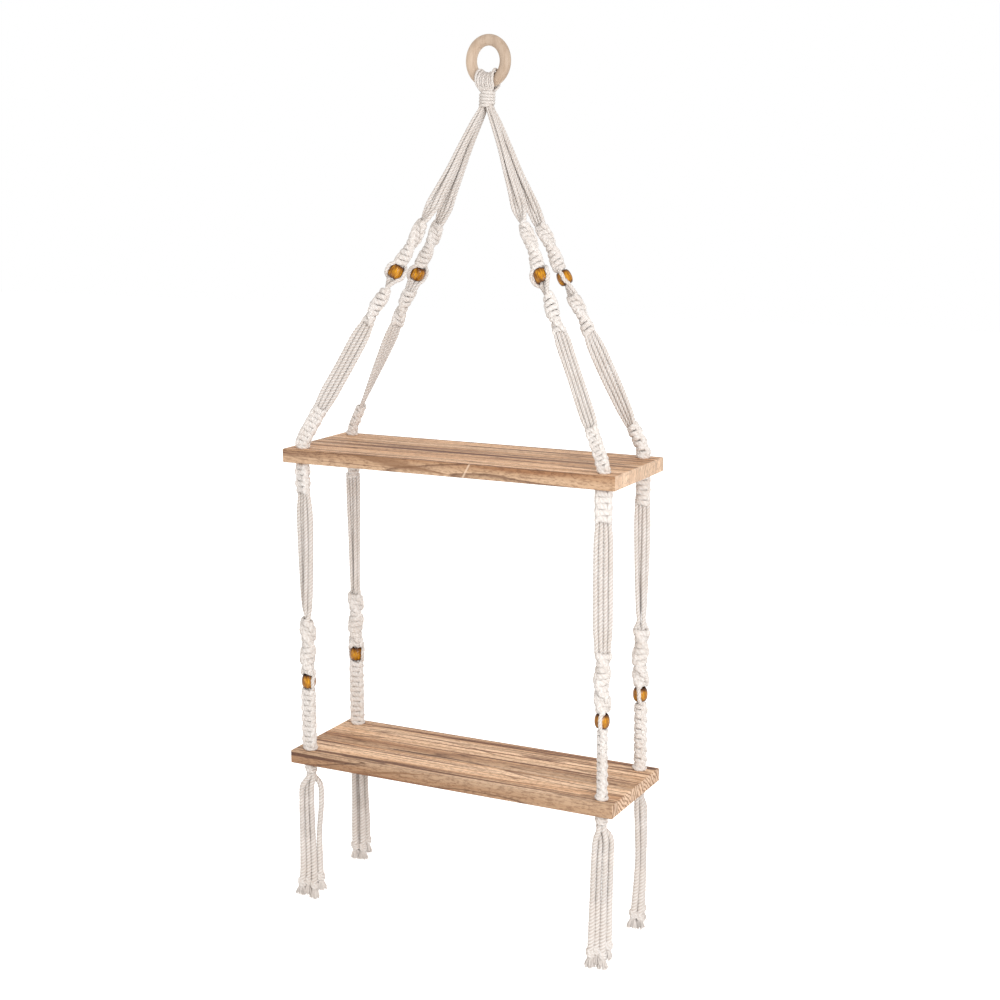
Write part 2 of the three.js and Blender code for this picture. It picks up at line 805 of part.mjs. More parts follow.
for (const leg of legs) {
  const upper = upperLeg(leg);
  const lower = lowerLeg(leg);
  addPiece(leg.name + "_top_run", topRun(leg, upper), cotton);
  addPiece(leg.name + "_upper_spiral", upperSpiral(leg, upper), cotton);
  addPiece(leg.name + "_upper_bead", bead(upper, upperBeadPlace), amber);
  addPiece(leg.name + "_middle_run", middleRun(leg, upper), cotton);
  addPiece(leg.name + "_shelf_knot", shelfKnot(leg, upper), cotton);
  addPiece(leg.name + "_lower_run", lowerRun(leg, lower), cotton);
  addPiece(leg.name + "_lower_sennit", lowerSennit(leg, lower), cotton);
  addPiece(leg.name + "_lower_bead", bead(lower, leg.lowerBeadDrop), amber);
  addPiece(leg.name + "_stopper_knot", stopperKnot(leg), cotton);
  for (let index = 0; index < leg.lateral.length; index += 1) {
    addPiece(leg.name + "_strand_" + (index + 1), strand(leg, index), cotton);
  }
}

export default shelf;
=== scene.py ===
# A hanging rope shelf: two boards of pale wood on four knotted cotton legs under a wooden ring.
# Sizes are in millimetres and turns in degrees. Each mesh is turned to metres when it is made.
# A place on a leg is counted down its cords. A turn of 0 faces forward, and turns grow downwards.
from collections import namedtuple
from math import ceil, cos, pi, radians, sin, sqrt

import bpy
import numpy as np
from mathutils import Matrix, Vector


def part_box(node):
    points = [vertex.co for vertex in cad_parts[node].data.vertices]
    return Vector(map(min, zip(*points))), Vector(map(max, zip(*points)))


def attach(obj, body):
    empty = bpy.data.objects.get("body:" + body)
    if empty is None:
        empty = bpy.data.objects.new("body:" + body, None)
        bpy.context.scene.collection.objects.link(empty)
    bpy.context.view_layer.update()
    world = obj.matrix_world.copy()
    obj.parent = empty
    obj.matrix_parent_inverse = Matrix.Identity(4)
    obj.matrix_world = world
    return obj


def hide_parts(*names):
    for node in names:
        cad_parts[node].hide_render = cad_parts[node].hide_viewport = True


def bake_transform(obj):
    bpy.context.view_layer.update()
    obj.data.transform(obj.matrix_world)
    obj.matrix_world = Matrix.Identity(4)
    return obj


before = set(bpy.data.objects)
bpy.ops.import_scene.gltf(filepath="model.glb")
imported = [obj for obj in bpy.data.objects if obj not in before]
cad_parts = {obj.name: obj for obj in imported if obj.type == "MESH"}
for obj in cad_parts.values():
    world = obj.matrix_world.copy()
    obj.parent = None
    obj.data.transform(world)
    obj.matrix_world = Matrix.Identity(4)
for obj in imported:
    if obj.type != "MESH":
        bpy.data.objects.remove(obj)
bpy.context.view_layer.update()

MM = 0.001
rng = np.random.default_rng(11)

# Camera
CAMERA_PLACE = (0.9387, -1.8179, -0.1147)
CAMERA_AZIMUTH = 27.0
CAMERA_ELEVATION = 11.155
CAMERA_ROLL = -0.23
CAMERA_LENS = 63.88

# Sizes repeated from the part
SEAT_GAP = 0.3
RING_RADIUS = 23
RING_TUBE_RADIUS = 6.4
RING_TURN = -7
BOARD_THICKNESS = 16
HOLE_X = 191
HOLE_Y = 54.5
SHELF_DROP = 454
SHELF_FORWARD = 51
TIER_DROP = 367
CORD_DIAMETER = 4.5
LOOP_COUNT = 8
LOOPS_WIDTH = 26
NECK_LENGTH = 5.5
NECK_RADIUS = 5.6
WRAP_CORD_DIAMETER = 3.1
WRAP_PITCH = 3.55
WRAP_TURNS = 5.5
SHOWN_WRAP_TURNS = 4
SHOWN_WRAP_RISE = 2
WRAP_FORWARD = 2.6
WRAP_LEAN = 6
RUN_WIDTH = 17.5
SPIRAL_WIDTH = 16.5
LOWER_SPIRAL_WIDTH = 19.5
SENNIT_WIDTH = 15
UPPER_HALF_TURN_LENGTH = 33
LOWER_HALF_TURN_LENGTH = 28
BEAD_RADIUS = 8.5
BEAD_END_RADIUS = 6.2
BEAD_LENGTH = 16
BEAD_BORE_RADIUS = 4.6
HALF_BEAD = BEAD_LENGTH / 2
BEAD_BULGE = 2.6
UPPER_BEAD_PLACE = 203
ABOVE_BEAD_LENGTH = 57
SMOOTH_LENGTH = 14
BELOW_BEAD_LENGTH = 46
FRONT_SENNIT_LENGTH = 44
BACK_SENNIT_LENGTH = 32
KNEE_RISE = 8
LEG_SPREAD = 2.9
UNDER_SENNIT_LENGTH = 36
LOWER_SPIRAL_LENGTH = 68
STOPPER_RADIUS = 7.6
STOPPER_LENGTH = 13
STRAND_PITCH = 5.2
TIP_KNOT_LENGTH = 8
TIP_LENGTH = 9
STRAND_DROP_SHARES = (0, 0.1, 0.25, 0.5, 0.8, 1)
STRAND_LENGTH_SHARES = (1, 0.98, 1.01, 0.96)
FAN_TURN = 27

# Values that follow
SPIRAL_START = UPPER_BEAD_PLACE - HALF_BEAD - ABOVE_BEAD_LENGTH
LOWER_HALF_START = UPPER_BEAD_PLACE + HALF_BEAD + SMOOTH_LENGTH
SPIRAL_END = LOWER_HALF_START + BELOW_BEAD_LENGTH
RING_CENTRE_DROP = RING_RADIUS - RING_TUBE_RADIUS
WRAP_TOP_DROP = 2 * RING_RADIUS + NECK_LENGTH
WRAP_LENGTH = WRAP_TURNS * WRAP_PITCH + WRAP_CORD_DIAMETER
UPPER_UNDERSIDE = -SHELF_DROP - BOARD_THICKNESS
LOWER_TOP = -SHELF_DROP - TIER_DROP
LOWER_UNDERSIDE = LOWER_TOP - BOARD_THICKNESS
STRAND_EXIT = LOWER_UNDERSIDE - STOPPER_LENGTH - 2 * SEAT_GAP

# Knotting: cords are drawn thinner where they are pulled tight
STEP = 1.15
FREE_RADIUS = 2.25
SPIRAL_RADIUS = 2.35
SQUARE_RADIUS = 2.2
FILLER_RADIUS = 2.5
HOLE_RADIUS = 1.95
FILLER_OFFSET = 2.0
SPIRAL_KNOT_PITCH = 6.4
HALF_KNOT_PITCH = 5.2
KNOT_FRONT = 3.9
SPIRAL_BAR_SHARE = 1.03
SQUARE_BAR_SHARE = 0.93
SIDE_SHARE = 1.12
LAY = 12.4
PLIES = 3
SIDES = 12
PLY_PROFILE = (1, 0.96, 0.84, 0.96)
KNOT_RELIEF = 0.5
PRESSED_FADE = 0.5
PRESS_FLAT = 0.8
PRESS_LONG = 1.38
OVERLAP_SHRINK = (0.985, 0.96, 0.82)
LIGHT_PRESS = 0.3
END_PRESS = 0.8
BAND_PRESS = 0.7
LOOP_PRESS = 0.4
KNOT_JITTER = 0.12
KNOT_FRONT_JITTER = (-0.1, 0.15)

# Four cords side by side, or two by two
ROW = (-1.5, -0.5, 0.5, 1.5)
SQUARE = ((-1, 1), (-1, -1), (1, 1), (1, -1))
RUN_STEP = 11
RUN_FILL = 0.555
RUN_SWAY = 0.35
RUN_EASE = 6
LATE_TURN = 2.5
GATHER_POWER = 1.4
BUNCH = (
    (-17, 1, 1.3, 0), (-9, 1, 1.5, 0.9), (-3, 1, 1.75, 2.9), (4, 1, 1.95, 3.8),
    (14, 1, 2.1, 3.9), (32, 1, 2.15, 3.6), (50, 0.97, 2.2, 2.9), (72, 0.85, 2.25, 1.5),
    (96, 0.55, 2.3, 0.8), (118, 0.15, 2.3, 0),
)

# The two cords of a half knot, as shares of its half width, its front reach and its pitch
FRONT_PASS = (
    (-1.02, 0.4, -0.3), (-0.66, 0.92, -0.1), (0, 1.04, 0),
    (0.5, 0.95, 0.05), (0.84, 0.4, 0.16), (1.08, 0, 0.34),
)
WRAP_PASS = (
    (1.04, 0.6, -0.3), (0.93, 1.12, 0), (0.95, 0.75, 0.28), (0.8, -0.4, 0.36),
    (0.4, -0.96, 0.26), (-0.1, -1.04, 0.16), (-0.66, -0.85, 0.06), (-0.92, -0.1, 0),
    (-0.88, 0.72, 0.12), (-1.02, 0.5, 0.34),
)
BEAD_PASS_RADIUS = 2.4
BEAD_PASS_BELOW = ((0, 1), (0.35, 0.98), (0.7, 0.9), (1.02, 0.75), (1.28, 0.58))
BEAD_PASS = tuple((-along, reach) for along, reach in BEAD_PASS_BELOW[:0:-1]) + BEAD_PASS_BELOW
BEAD_BORE_PASS = ((-1.2, 2.9, 2.9), (-1, 2.3, 2.2), (0, 2.1, 2.2), (1, 2.3, 2.2), (1.2, 2.9, 2.9))
BEAD_BACK = 4.5
BEAD_REST = 2
BEAD_TURN_PLACES = (-1.6, -0.5, 0.5, 2.4)
SENNIT_REST = 3.5
FOOT_RISE = 2.3
UPPER_FOOT_SHARE = 0.35
LOWER_FOOT_SHARE = 0.38
HOLE_INSET = 1

# Tassels: a round of cord has a radius, a tilt, half its sweep and its rise
FOOT_BAND = (2.3, 0.5, 230, 0.6)
TIP_BAND = (2.3, 1.1, 215, 0.8)
TIP_BAND_REACH = 3.4
TIP_BAND_SHIFTS = (-1.7, 1.5)
STOPPER_BAND = (2.15, 1.7, 250, 1.2)
STOPPER_BAND_SHIFT = 2.1
BAND_POINTS = 17
BAND_TUCKED_SHARE = 0.35
STRAND_PLACES = np.array(((-1, -1), (-1, 1), (1, -1), (1, 1))) * STRAND_PITCH / 2
STRAND_RADIUS = 3.45
STRAND_OPENING = 0.2
STRAND_OPENS_AT = 0.5
STRAND_OPENED_AFTER = 0.25
STRAND_REACH = 1.05
FRONT_CLOSING = 0.65
FRAY_YARNS = 125
FRAY_YARN_RADIUS = 0.45
FRAY_SIDES = np.radians((0, 90, 180, 270))
FRAY_STEP = 2.4
FRAY_LENGTH = 11.5
FRAY_LAST = 1.5
# A yarn's reach from the middle, and the shares of its length and of its drift
FRAY_PATH = ((2.4, 0, 0), (3.7, 0.4, 0.4), (5.3, 0.75, 1), (6.3, 1, 2))

# Head
LOOP_RADIUS = 1.72
LOOP_CLEARANCE = 0.45
LOOP_BACK_ROOM = 0.65
LOOP_TOP_SHARE = 0.93
LOOP_FRONT_SPREAD = 0.1
LOOP_OUTER_ROOM = 0.75
LOOP_BACK_GATHER = 0.18
LOOP_LIFT = 0.45
LOOP_JITTER = 0.15
LOOP_ARC = (-38, 218, 15)
# The loops' legs at the neck's mouth: share of their width, reach, roundness, way forward and rise
NECK_MOUTH = ((0.74, 4.5, 1.9, 0.8, 4.4), (0.5, 2.2, 2.6, WRAP_FORWARD, 0.8))
NECK_PLACES = (2, 7, 12)
NECK_THINNING = (1.3, 1.35, 1.4, 1.55, 1.65)
WRAP_TUCK = 70
WRAP_TUCK_DEPTH = 3.2

# Boards, glued up from strips. Lengths are in metres here
BOARD_STRIP = 0.0185
STRIP_TONES = ((0.84, 0.8, 0.76), (1.28, 1.26, 1.24))
# Painted shade along a board's back edge, this wide
BACK_SHADE_WIDTH = 0.004
FINGER_SLANT = 0.55
FINGER_SEAM = 0.0012
RINGS_PER_METRE = 135.0
# How fast painted shade darkens the ring's wood towards its right, for each metre
RING_SHADE_SLOPE = 15.0
# How far a normal points along an axis where a face belongs to it
FACING = 0.7
# The colour that darkens a board's front face is painted shade
BoardLook = namedtuple(
    "BoardLook",
    "seed pale front_tone end_share end_tone ring_share figure_start figure_end figure_width finger_joint",
)
BOARD_LOOKS = {
    "upper_shelf": BoardLook(
        0.35, 1.3, (0.48, 0.45, 0.42), 0.6, (0.65, 0.5, 0.375), 0.15,
        (-0.13, -0.4545), (0.012, -0.4695), 0.007, 0.031,
    ),
    "lower_shelf": BoardLook(
        7.6, 1.06, (0.65, 0.62, 0.59), 0.6, (0.7, 0.52, 0.38), 0.95,
        (-0.15, -0.838), (0.008, -0.82), 0.0018, None,
    ),
}

# Studio, in metres
FLOOR_Z = -1.1
FLOOR_HALF = 8
WORLD_STRENGTH = 0.87
WORLD_COLOUR = (1.0, 0.96, 0.925, 1)
LIGHT_COLOUR = (0.97, 0.985, 1)

DOWN = np.array((0.0, 0, -1))
WRAP_DIRECTION = np.array((0, -sin(radians(WRAP_LEAN)), -cos(radians(WRAP_LEAN))))
WRAP_TOP = np.array((0, -WRAP_FORWARD, -WRAP_TOP_DROP))

Leg = namedtuple(
    "Leg",
    "name side row above_bead_turn upper_bead_turn below_bead_turn shelf_knot_turn under_knot_turn"
    " lower_knot_turn lower_bead_turn lower_bead_drop lower_gather lower_spread sennit_turn under_width"
    " middle_spread upper_sennit lower_sennit strand_length lateral",
)
LEGS = (
    Leg(
        "front_left", -1, -1, 87, 27, -61, 20, -13, 23, -33, 266, 0.6, 1.35, 2, 18.5, 1.22, 18, 18, 148, (
            (-10.4, -12.2, -12.4, -12.7, -16.2), (-5, -6.3, -6.1, -5.9, -8.2),
            (0.4, -0.3, 0.3, 1, 0.4), (10, 11.2, 8.2, 7.8, 9),
        ),
    ),
    Leg(
        "front_right", 1, -1, 70, -3, -61, -3, 18, 121, -78, 260, 0, 1.24, -78, 20, 1.03, 15.5, 15, 158, (
            (-6.4, -8.2, -9.4, -10.6, -12), (-0.6, -1.7, -2.9, -4, -4.8),
            (4.8, 4.6, 3.6, 2.6, 1.8), (10.4, 11, 10.2, 9.2, 8.2),
        ),
    ),
    Leg(
        "back_left", -1, 1, 96, 52, -6, -63, 10, 58, -16, 260, 1, 1, 14, 15, 1.2, 15.5, 18, 138, (
            (-5.4, -6.2, -6.3, -6.6, -6.2), (-1.4, -1.4, -1.2, -1.4, -1.8),
            (2.6, 2.8, 3.4, 3.6, 3), (5.8, 7.4, 8.2, 9, 8),
        ),
    ),
    Leg(
        "back_right", 1, 1, 105, -72, -20, -25, 6, 104, -75, 260, 1, 1.12, -40, 17, 1.14, 17, 17, 154, (
            (-2.8, -1.8, -0.9, -3.4, -6.6), (-1.4, -0.6, 0.2, -1.2, -2.4),
            (3.6, 4.4, 4.8, 3.4, 1.8), (6.4, 7, 6.6, 5.4, 4.6),
        ),
    ),
)


def unit(vector):
    return vector / np.linalg.norm(vector)


def row_y(row):
    return row * HOLE_Y - SHELF_FORWARD


def rotated(x, y, turn):
    c = cos(radians(turn))
    s = sin(radians(turn))
    return c * x - s * y, s * x + c * y


def add_object(name, data):
    added = bpy.data.objects.new(name, data)
    bpy.context.scene.collection.objects.link(added)
    return added


# The matrix of a camera or light at a place, with its back to a direction
def facing_from(place, back):
    return Matrix.Translation(place) @ back.to_track_quat("Z", "Y").to_matrix().to_4x4()


def add_camera():
    azimuth = radians(CAMERA_AZIMUTH)
    elevation = radians(CAMERA_ELEVATION)
    back = Vector((sin(azimuth) * cos(elevation), -cos(azimuth) * cos(elevation), sin(elevation)))
    data = bpy.data.cameras.new("camera")
    data.lens = CAMERA_LENS
    data.sensor_width = 36
    camera = add_object("camera", data)
    camera.matrix_world = facing_from(CAMERA_PLACE, back) @ Matrix.Rotation(radians(CAMERA_ROLL), 4, "Z")
    bpy.context.scene.camera = camera


def between(t, start, end, low, high):
    return ((high - t) * start + (t - low) * end) / (high - low)


# A smooth line through points, and the row of each of those points in it
def smooth_line(points, step):
    points = np.asarray(points, float)
    padded = np.vstack([2 * points[0] - points[1], points, 2 * points[-1] - points[-2]])
    gaps = np.maximum(np.linalg.norm(np.diff(padded, axis=0), axis=1), 1e-4)
    knots = np.concatenate([[0], np.cumsum(np.sqrt(gaps))])
    line = []
    rows = [0]
    for i in range(len(points) - 1):
        p0, p1, p2, p3 = padded[i : i + 4]
        t0, t1, t2, t3 = knots[i : i + 4]
        count = max(1, ceil(gaps[i + 1] / step))
        t = t1 + (t2 - t1) * np.arange(count)[:, None] / count
        a1 = between(t, p0, p1, t0, t1)
        a2 = between(t, p1, p2, t1, t2)
        a3 = between(t, p2, p3, t2, t3)
        b1 = between(t, a1, a2, t0, t2)
        b2 = between(t, a2, a3, t1, t3)
        line.append(between(t, b1, b2, t1, t2))
        rows.append(rows[-1] + count)
    line.append(points[-1:])
    return np.vstack(line), rows


def lengths_along(line):
    return np.concatenate([[0], np.cumsum(np.linalg.norm(np.diff(line, axis=0), axis=1))])


# Directions across a line that don't spin about it
def frames_along(line):
    tangents = np.gradient(line, axis=0)
    tangents /= np.linalg.norm(tangents, axis=1)[:, None]
    normal = unit(np.cross(tangents[0], (0.31, 0.87, 0.38)))
    normals = []
    for tangent in tangents:
        normal = unit(normal - tangent * np.dot(normal, tangent))
        normals.append(normal)
    normals = np.array(normals)
    return normals, np.cross(tangents, normals)


def rings_along(line, reach, angles):
    normals, binormals = frames_along(line)
    rings = line[:, None] + (reach * np.cos(angles))[..., None] * normals[:, None]
    return rings + (reach * np.sin(angles))[..., None] * binormals[:, None]


# The rings of a three-ply cord along a line
def ply_rings(line, radii, start=0.0, pressed=0.0):
    along = lengths_along(line) + start
    angles = 2 * np.pi * along[:, None] / LAY + 2 * np.pi * np.arange(SIDES) / SIDES
    relief = 1 - (1 - KNOT_RELIEF) * np.broadcast_to(pressed, len(line))[:, None]
    reach = (1 - relief * (1 - np.resize(PLY_PROFILE, SIDES))) * np.asarray(radii)[:, None]
    return rings_along(line, reach, angles), along


# Cords that are pulled tight round a leg are pressed flat against it and spread along it
def press(rings, line, centres, tangents, pressed):
    offset = rings - line[:, None]
    out = line - centres
    out -= tangents * np.sum(out * tangents, axis=1)[:, None]
    out /= np.maximum(np.linalg.norm(out, axis=1), 0.5)[:, None]
    for direction, scale in ((out, PRESS_FLAT), (tangents, PRESS_LONG)):
        reach = np.sum(offset * direction[:, None], axis=2)
        offset = offset + ((scale - 1) * pressed[:, None] * reach)[..., None] * direction[:, None]
    return line[:, None] + offset


# Cords in one mesh. A part has its points, its faces' corners on the cord and how hard it is pressed
class Skein:
    def __init__(self):
        self.parts = []
        self.faces = []
        self.count = 0

    def add_rings(self, rings, along, pressed=0.0):
        steps, sides = rings.shape[:2]
        pressed = np.broadcast_to(pressed, steps)
        index = self.count + np.arange(steps * sides).reshape(steps, sides)
        beside = np.roll(index, -1, axis=1)
        quads = np.stack([index[:-1], beside[:-1], beside[1:], index[1:]], axis=-1).reshape(-1, 4)
        u = np.arange(sides + 1) / sides
        v = along / LAY
        low, high, near, far = np.broadcast_arrays(u[:-1], u[1:], v[:-1, None], v[1:, None])
        corners = np.stack([low, near, high, near, high, far, low, far], axis=-1)
        self.parts.append((rings.reshape(-1, 3), corners.reshape(-1, 2), np.repeat(pressed, sides)))
        self.faces.extend(quads.tolist())
        self.count += steps * sides
        self.add_cap(rings[0], index[0][::-1], v[0])
        self.add_cap(rings[-1], index[-1], v[-1])

    def add_cap(self, ring, index, height):
        corners = np.full((3 * len(index), 2), (0.0, height))
        self.parts.append((ring.mean(axis=0)[None], corners, np.zeros(1)))
        self.faces.extend([int(a), int(b), self.count] for a, b in zip(index, np.roll(index, -1)))
        self.count += 1

    def add_cord(self, points, radii, step=STEP, pressed=0.0):
        line, rows = smooth_line(points, step)
        girths = np.interp(np.arange(len(line)), rows, np.broadcast_to(radii, len(rows)))
        self.add_rings(*ply_rings(line, girths, rng.uniform(0, LAY), pressed), pressed)

    def piece(self, name, plied=True):
        points, corners, pressed = (np.concatenate(column) for column in zip(*self.parts))
        mesh = new_mesh(name, points, self.faces, "cord", corners)
        layer = mesh.attributes.new("pressed", "FLOAT", "POINT")
        layer.data.foreach_set("value", pressed.astype(np.float32))
        return new_piece(name, mesh, cotton if plied else cotton_fray)


def new_mesh(name, points, faces, layer, corners):
    mesh = bpy.data.meshes.new(name)
    mesh.from_pydata((points * MM).tolist(), [], faces)
    mesh.uv_layers.new(name=layer).data.foreach_set("uv", corners.astype(np.float32).ravel())
    return mesh


def new_piece(name, mesh, material):
    mesh.polygons.foreach_set("use_smooth", [True] * len(mesh.polygons))
    mesh.materials.append(material)
    mesh.update()
    piece = add_object(name, mesh)
    return piece


# Directions across a leg: the width and the depth of its knotwork at a turn
def across(tangent, turn):
    sideways = unit(np.array((1.0, 0, 0)) - tangent * tangent[0])
    return rotated(sideways, np.cross(sideways, tangent), -turn)


# An upper leg runs straight from the winding to a knee over the board's hole, and then down
def upper_line(leg):
    width, depth = across(WRAP_DIRECTION, 0)
    top = WRAP_TOP + WRAP_DIRECTION * (WRAP_LENGTH + SEAT_GAP)
    top = top + LEG_SPREAD * (leg.side * width + leg.row * depth)
    knee = np.array((leg.side * HOLE_X, row_y(leg.row), KNEE_RISE - SHELF_DROP))
    slope = unit(knee - top)
    knee_place = np.linalg.norm(knee - top)

    def at(place):
        past = (place - knee_place + KNEE_RISE) / (2 * KNEE_RISE)
        if place < 0:
            return top + WRAP_DIRECTION * place, WRAP_DIRECTION
        if past <= 0:
            return top + slope * place, slope
        if past >= 1:
            return knee + DOWN * (place - knee_place), DOWN
        point = knee + KNEE_RISE * (past**2 * DOWN - (1 - past) ** 2 * slope)
        return point, unit((1 - past) * slope + past * DOWN)

    return at, knee_place


def lower_line(leg):
    top = np.array((leg.side * HOLE_X, row_y(leg.row), UPPER_UNDERSIDE))
    return lambda place: (top + DOWN * place, DOWN)


# The turn nearest to a wanted one at which the four cords lie in the same row
def nearest_turn(turn, wanted):
    return turn + 180 * round((wanted - turn) / 180)


# Four cords that are worked down a leg, from left to right at a turn of 0. A cord is a list of its
# points, each with its radius, the leg's middle and direction there, and how hard it is pressed.
# A cut is where one piece of a cord ends and the next starts
class Legwork:
    def __init__(self, line):
        self.line = line
        self.made = [[] for _ in range(4)]
        self.cuts = [[] for _ in range(4)]
        self.cords = self.made
        self.turn = 0.0

    def through(self, cord, place, turn, right, front, radius, pressed=0.0):
        point, tangent = self.line(place)
        width, depth = across(tangent, turn)
        cord.append((point + right * width - front * depth, radius, point, tangent, pressed))

    def cut(self):
        for cord, cuts in zip(self.made, self.cuts):
            cuts.append(len(cord) - 1)

    # Side by side, or gathered two by two
    def spread(self, place, gather, pitch, radius, shift=((0, 0),) * 4):
        for cord, step, corner, (shift_right, shift_front) in zip(self.cords, ROW, SQUARE, shift):
            right = (1 - gather) * step * pitch + gather * corner[0] * radius + shift_right
            front = sqrt(gather) * corner[1] * radius + shift_front
            self.through(cord, place, self.turn, right, front, radius)

    # Plain cords that sway a little, turn on their way and may be gathered or spread
    def run(self, start, end, turn, gather=0.0, widen=1.0, late=1):
        first_turn = self.turn
        turn = nearest_turn(turn, first_turn)
        count = max(4, round((end - start) / RUN_STEP))
        swings = rng.uniform(-1, 1, (4, 4))
        for k in range(1, count):
            share = k / count
            sway = RUN_SWAY * sin(pi * share)
            shift = [
                (sway * (a * sin(7 * share + 3 * b) + 0.5 * c), sway * (d * sin(6 * share + 3 * c) + 0.5 * b))
                for a, b, c, d in swings
            ]
            gathered = gather * share**GATHER_POWER
            self.turn = first_turn + (turn - first_turn) * share**late
            pitch = RUN_WIDTH / 4 * (1 + (widen - 1) * min(1, RUN_EASE * share, RUN_EASE * (1 - share)))
            place = start + (end - start) * share
            self.spread(place, gathered, pitch, RUN_FILL * pitch, shift)
        self.turn = turn

    # Half knots that turn as they go, or square knots where nothing spins
    def knots(self, start, end, width, spin_length=None, cut=False):
        swell = width / (SPIRAL_WIDTH if spin_length else SENNIT_WIDTH)
        wanted = SPIRAL_KNOT_PITCH if spin_length else HALF_KNOT_PITCH * swell
        count = max(2, round((end - start) / wanted))
        pitch = (end - start) / count
        first_turn = self.turn
        bar_share = SPIRAL_BAR_SHARE if spin_length else SQUARE_BAR_SHARE
        radius = swell * (SPIRAL_RADIUS if spin_length else SQUARE_RADIUS)
        half_width = width / 2 - radius

        def turn_at(place):
            return first_turn + (180 * (place - start) / spin_length if spin_length else 0)

        for cord, offset in zip(self.cords, (-half_width, -FILLER_OFFSET, FILLER_OFFSET, half_width)):
            self.through(cord, start, first_turn, offset, 0, radius, LIGHT_PRESS)
        if cut:
            self.cut()
        for k in range(count):
            mirrored = not spin_length and k % 2 == 1
            middle = start + (k + 0.5) * pitch
            reach = swell * KNOT_FRONT
            self.half_knot(middle, pitch, turn_at, half_width, radius, bar_share, reach, mirrored)
        self.turn = turn_at(end)

    # One working cord crosses in front of the fillers, and the other wraps it and goes behind
    def half_knot(self, middle, pitch, turn_at, half_width, radius, bar_share, reach, mirrored):
        left, first, second, right = self.cords
        side = -1 if mirrored else 1
        over, under = (right, left) if mirrored else (left, right)
        end = middle + pitch / 2
        for cord, passes, last in ((over, FRONT_PASS, 1), (under, WRAP_PASS, -1)):
            for width_share, front_share, pitch_share in passes:
                place = middle + pitch_share * pitch + rng.uniform(-KNOT_JITTER, KNOT_JITTER)
                out = side * width_share * half_width + rng.uniform(-KNOT_JITTER, KNOT_JITTER)
                front = front_share * reach + rng.uniform(*KNOT_FRONT_JITTER)
                girth = radius * (bar_share + (SIDE_SHARE - bar_share) * abs(width_share))
                self.through(cord, place, turn_at(place), out, front, girth, 1.0)
            self.through(cord, end, turn_at(end), side * last * half_width, 0, radius, END_PRESS)
        for cord, offset in ((first, -FILLER_OFFSET), (second, FILLER_OFFSET)):
            self.through(cord, end, turn_at(end), offset, 0, FILLER_RADIUS)
        self.cords = (over, first, second, under) if mirrored else (under, first, second, over)

    # The fillers go through the bead's bore, and a working cord goes round each side
    def pass_bead(self, place, turn, turn_after, back=0):
        turn = nearest_turn(turn, self.turn)
        turn_after = nearest_turn(turn_after, turn)
        out = sqrt((BEAD_RADIUS + SEAT_GAP + BEAD_PASS_RADIUS) ** 2 - back**2)
        left, first, second, right = self.cords
        for along, reach in BEAD_PASS:
            turned = np.interp(along, BEAD_TURN_PLACES, (self.turn, turn, turn, turn_after))
            past = place + along * HALF_BEAD
            behind = -back * (1 - (along / BEAD_PASS[-1][0]) ** 2)
            for cord, side in ((left, -1), (right, 1)):
                self.through(cord, past, turned, side * reach * out, behind, BEAD_PASS_RADIUS, LIGHT_PRESS)
        for along, offset, radius in BEAD_BORE_PASS:
            for cord, side in ((first, -1), (second, 1)):
                self.through(cord, place + along * HALF_BEAD, turn, side * offset, 0, radius)
        self.turn = turn_after


# The four cords of a leg, from the winding to the knots under the upper board
def work_upper_leg(leg):
    line, knee_place = upper_line(leg)
    work = Legwork(line)
    for place, gather, radius, out in BUNCH:
        work.spread(place, gather, 2 * radius, radius, [(leg.side * out, 0)] * 4)
    spun = 180 * ABOVE_BEAD_LENGTH / UPPER_HALF_TURN_LENGTH
    work.run(BUNCH[-1][0], SPIRAL_START, leg.above_bead_turn - spun)
    bead_top = UPPER_BEAD_PLACE - HALF_BEAD - SEAT_GAP
    work.knots(SPIRAL_START, bead_top - BEAD_REST, SPIRAL_WIDTH, UPPER_HALF_TURN_LENGTH, cut=True)
    back = BEAD_BACK if leg.row < 0 else 0
    work.pass_bead(UPPER_BEAD_PLACE, leg.upper_bead_turn, leg.below_bead_turn, back)
    work.knots(LOWER_HALF_START, SPIRAL_END, SPIRAL_WIDTH, UPPER_HALF_TURN_LENGTH)
    work.cut()
    sennit_place = knee_place - (FRONT_SENNIT_LENGTH if leg.row < 0 else BACK_SENNIT_LENGTH)
    work.run(SPIRAL_END, sennit_place, leg.shelf_knot_turn, widen=leg.middle_spread)
    top = knee_place + KNEE_RISE
    foot = top + BOARD_THICKNESS
    work.knots(sennit_place, top - SENNIT_REST, leg.upper_sennit, cut=True)
    work.spread(top + HOLE_INSET, 1, 0, HOLE_RADIUS)
    work.turn = nearest_turn(leg.under_knot_turn, work.turn)
    work.spread(foot - HOLE_INSET, 1, 0, HOLE_RADIUS)
    work.knots(foot + SENNIT_REST / 2, foot + UNDER_SENNIT_LENGTH, leg.under_width)
    return work


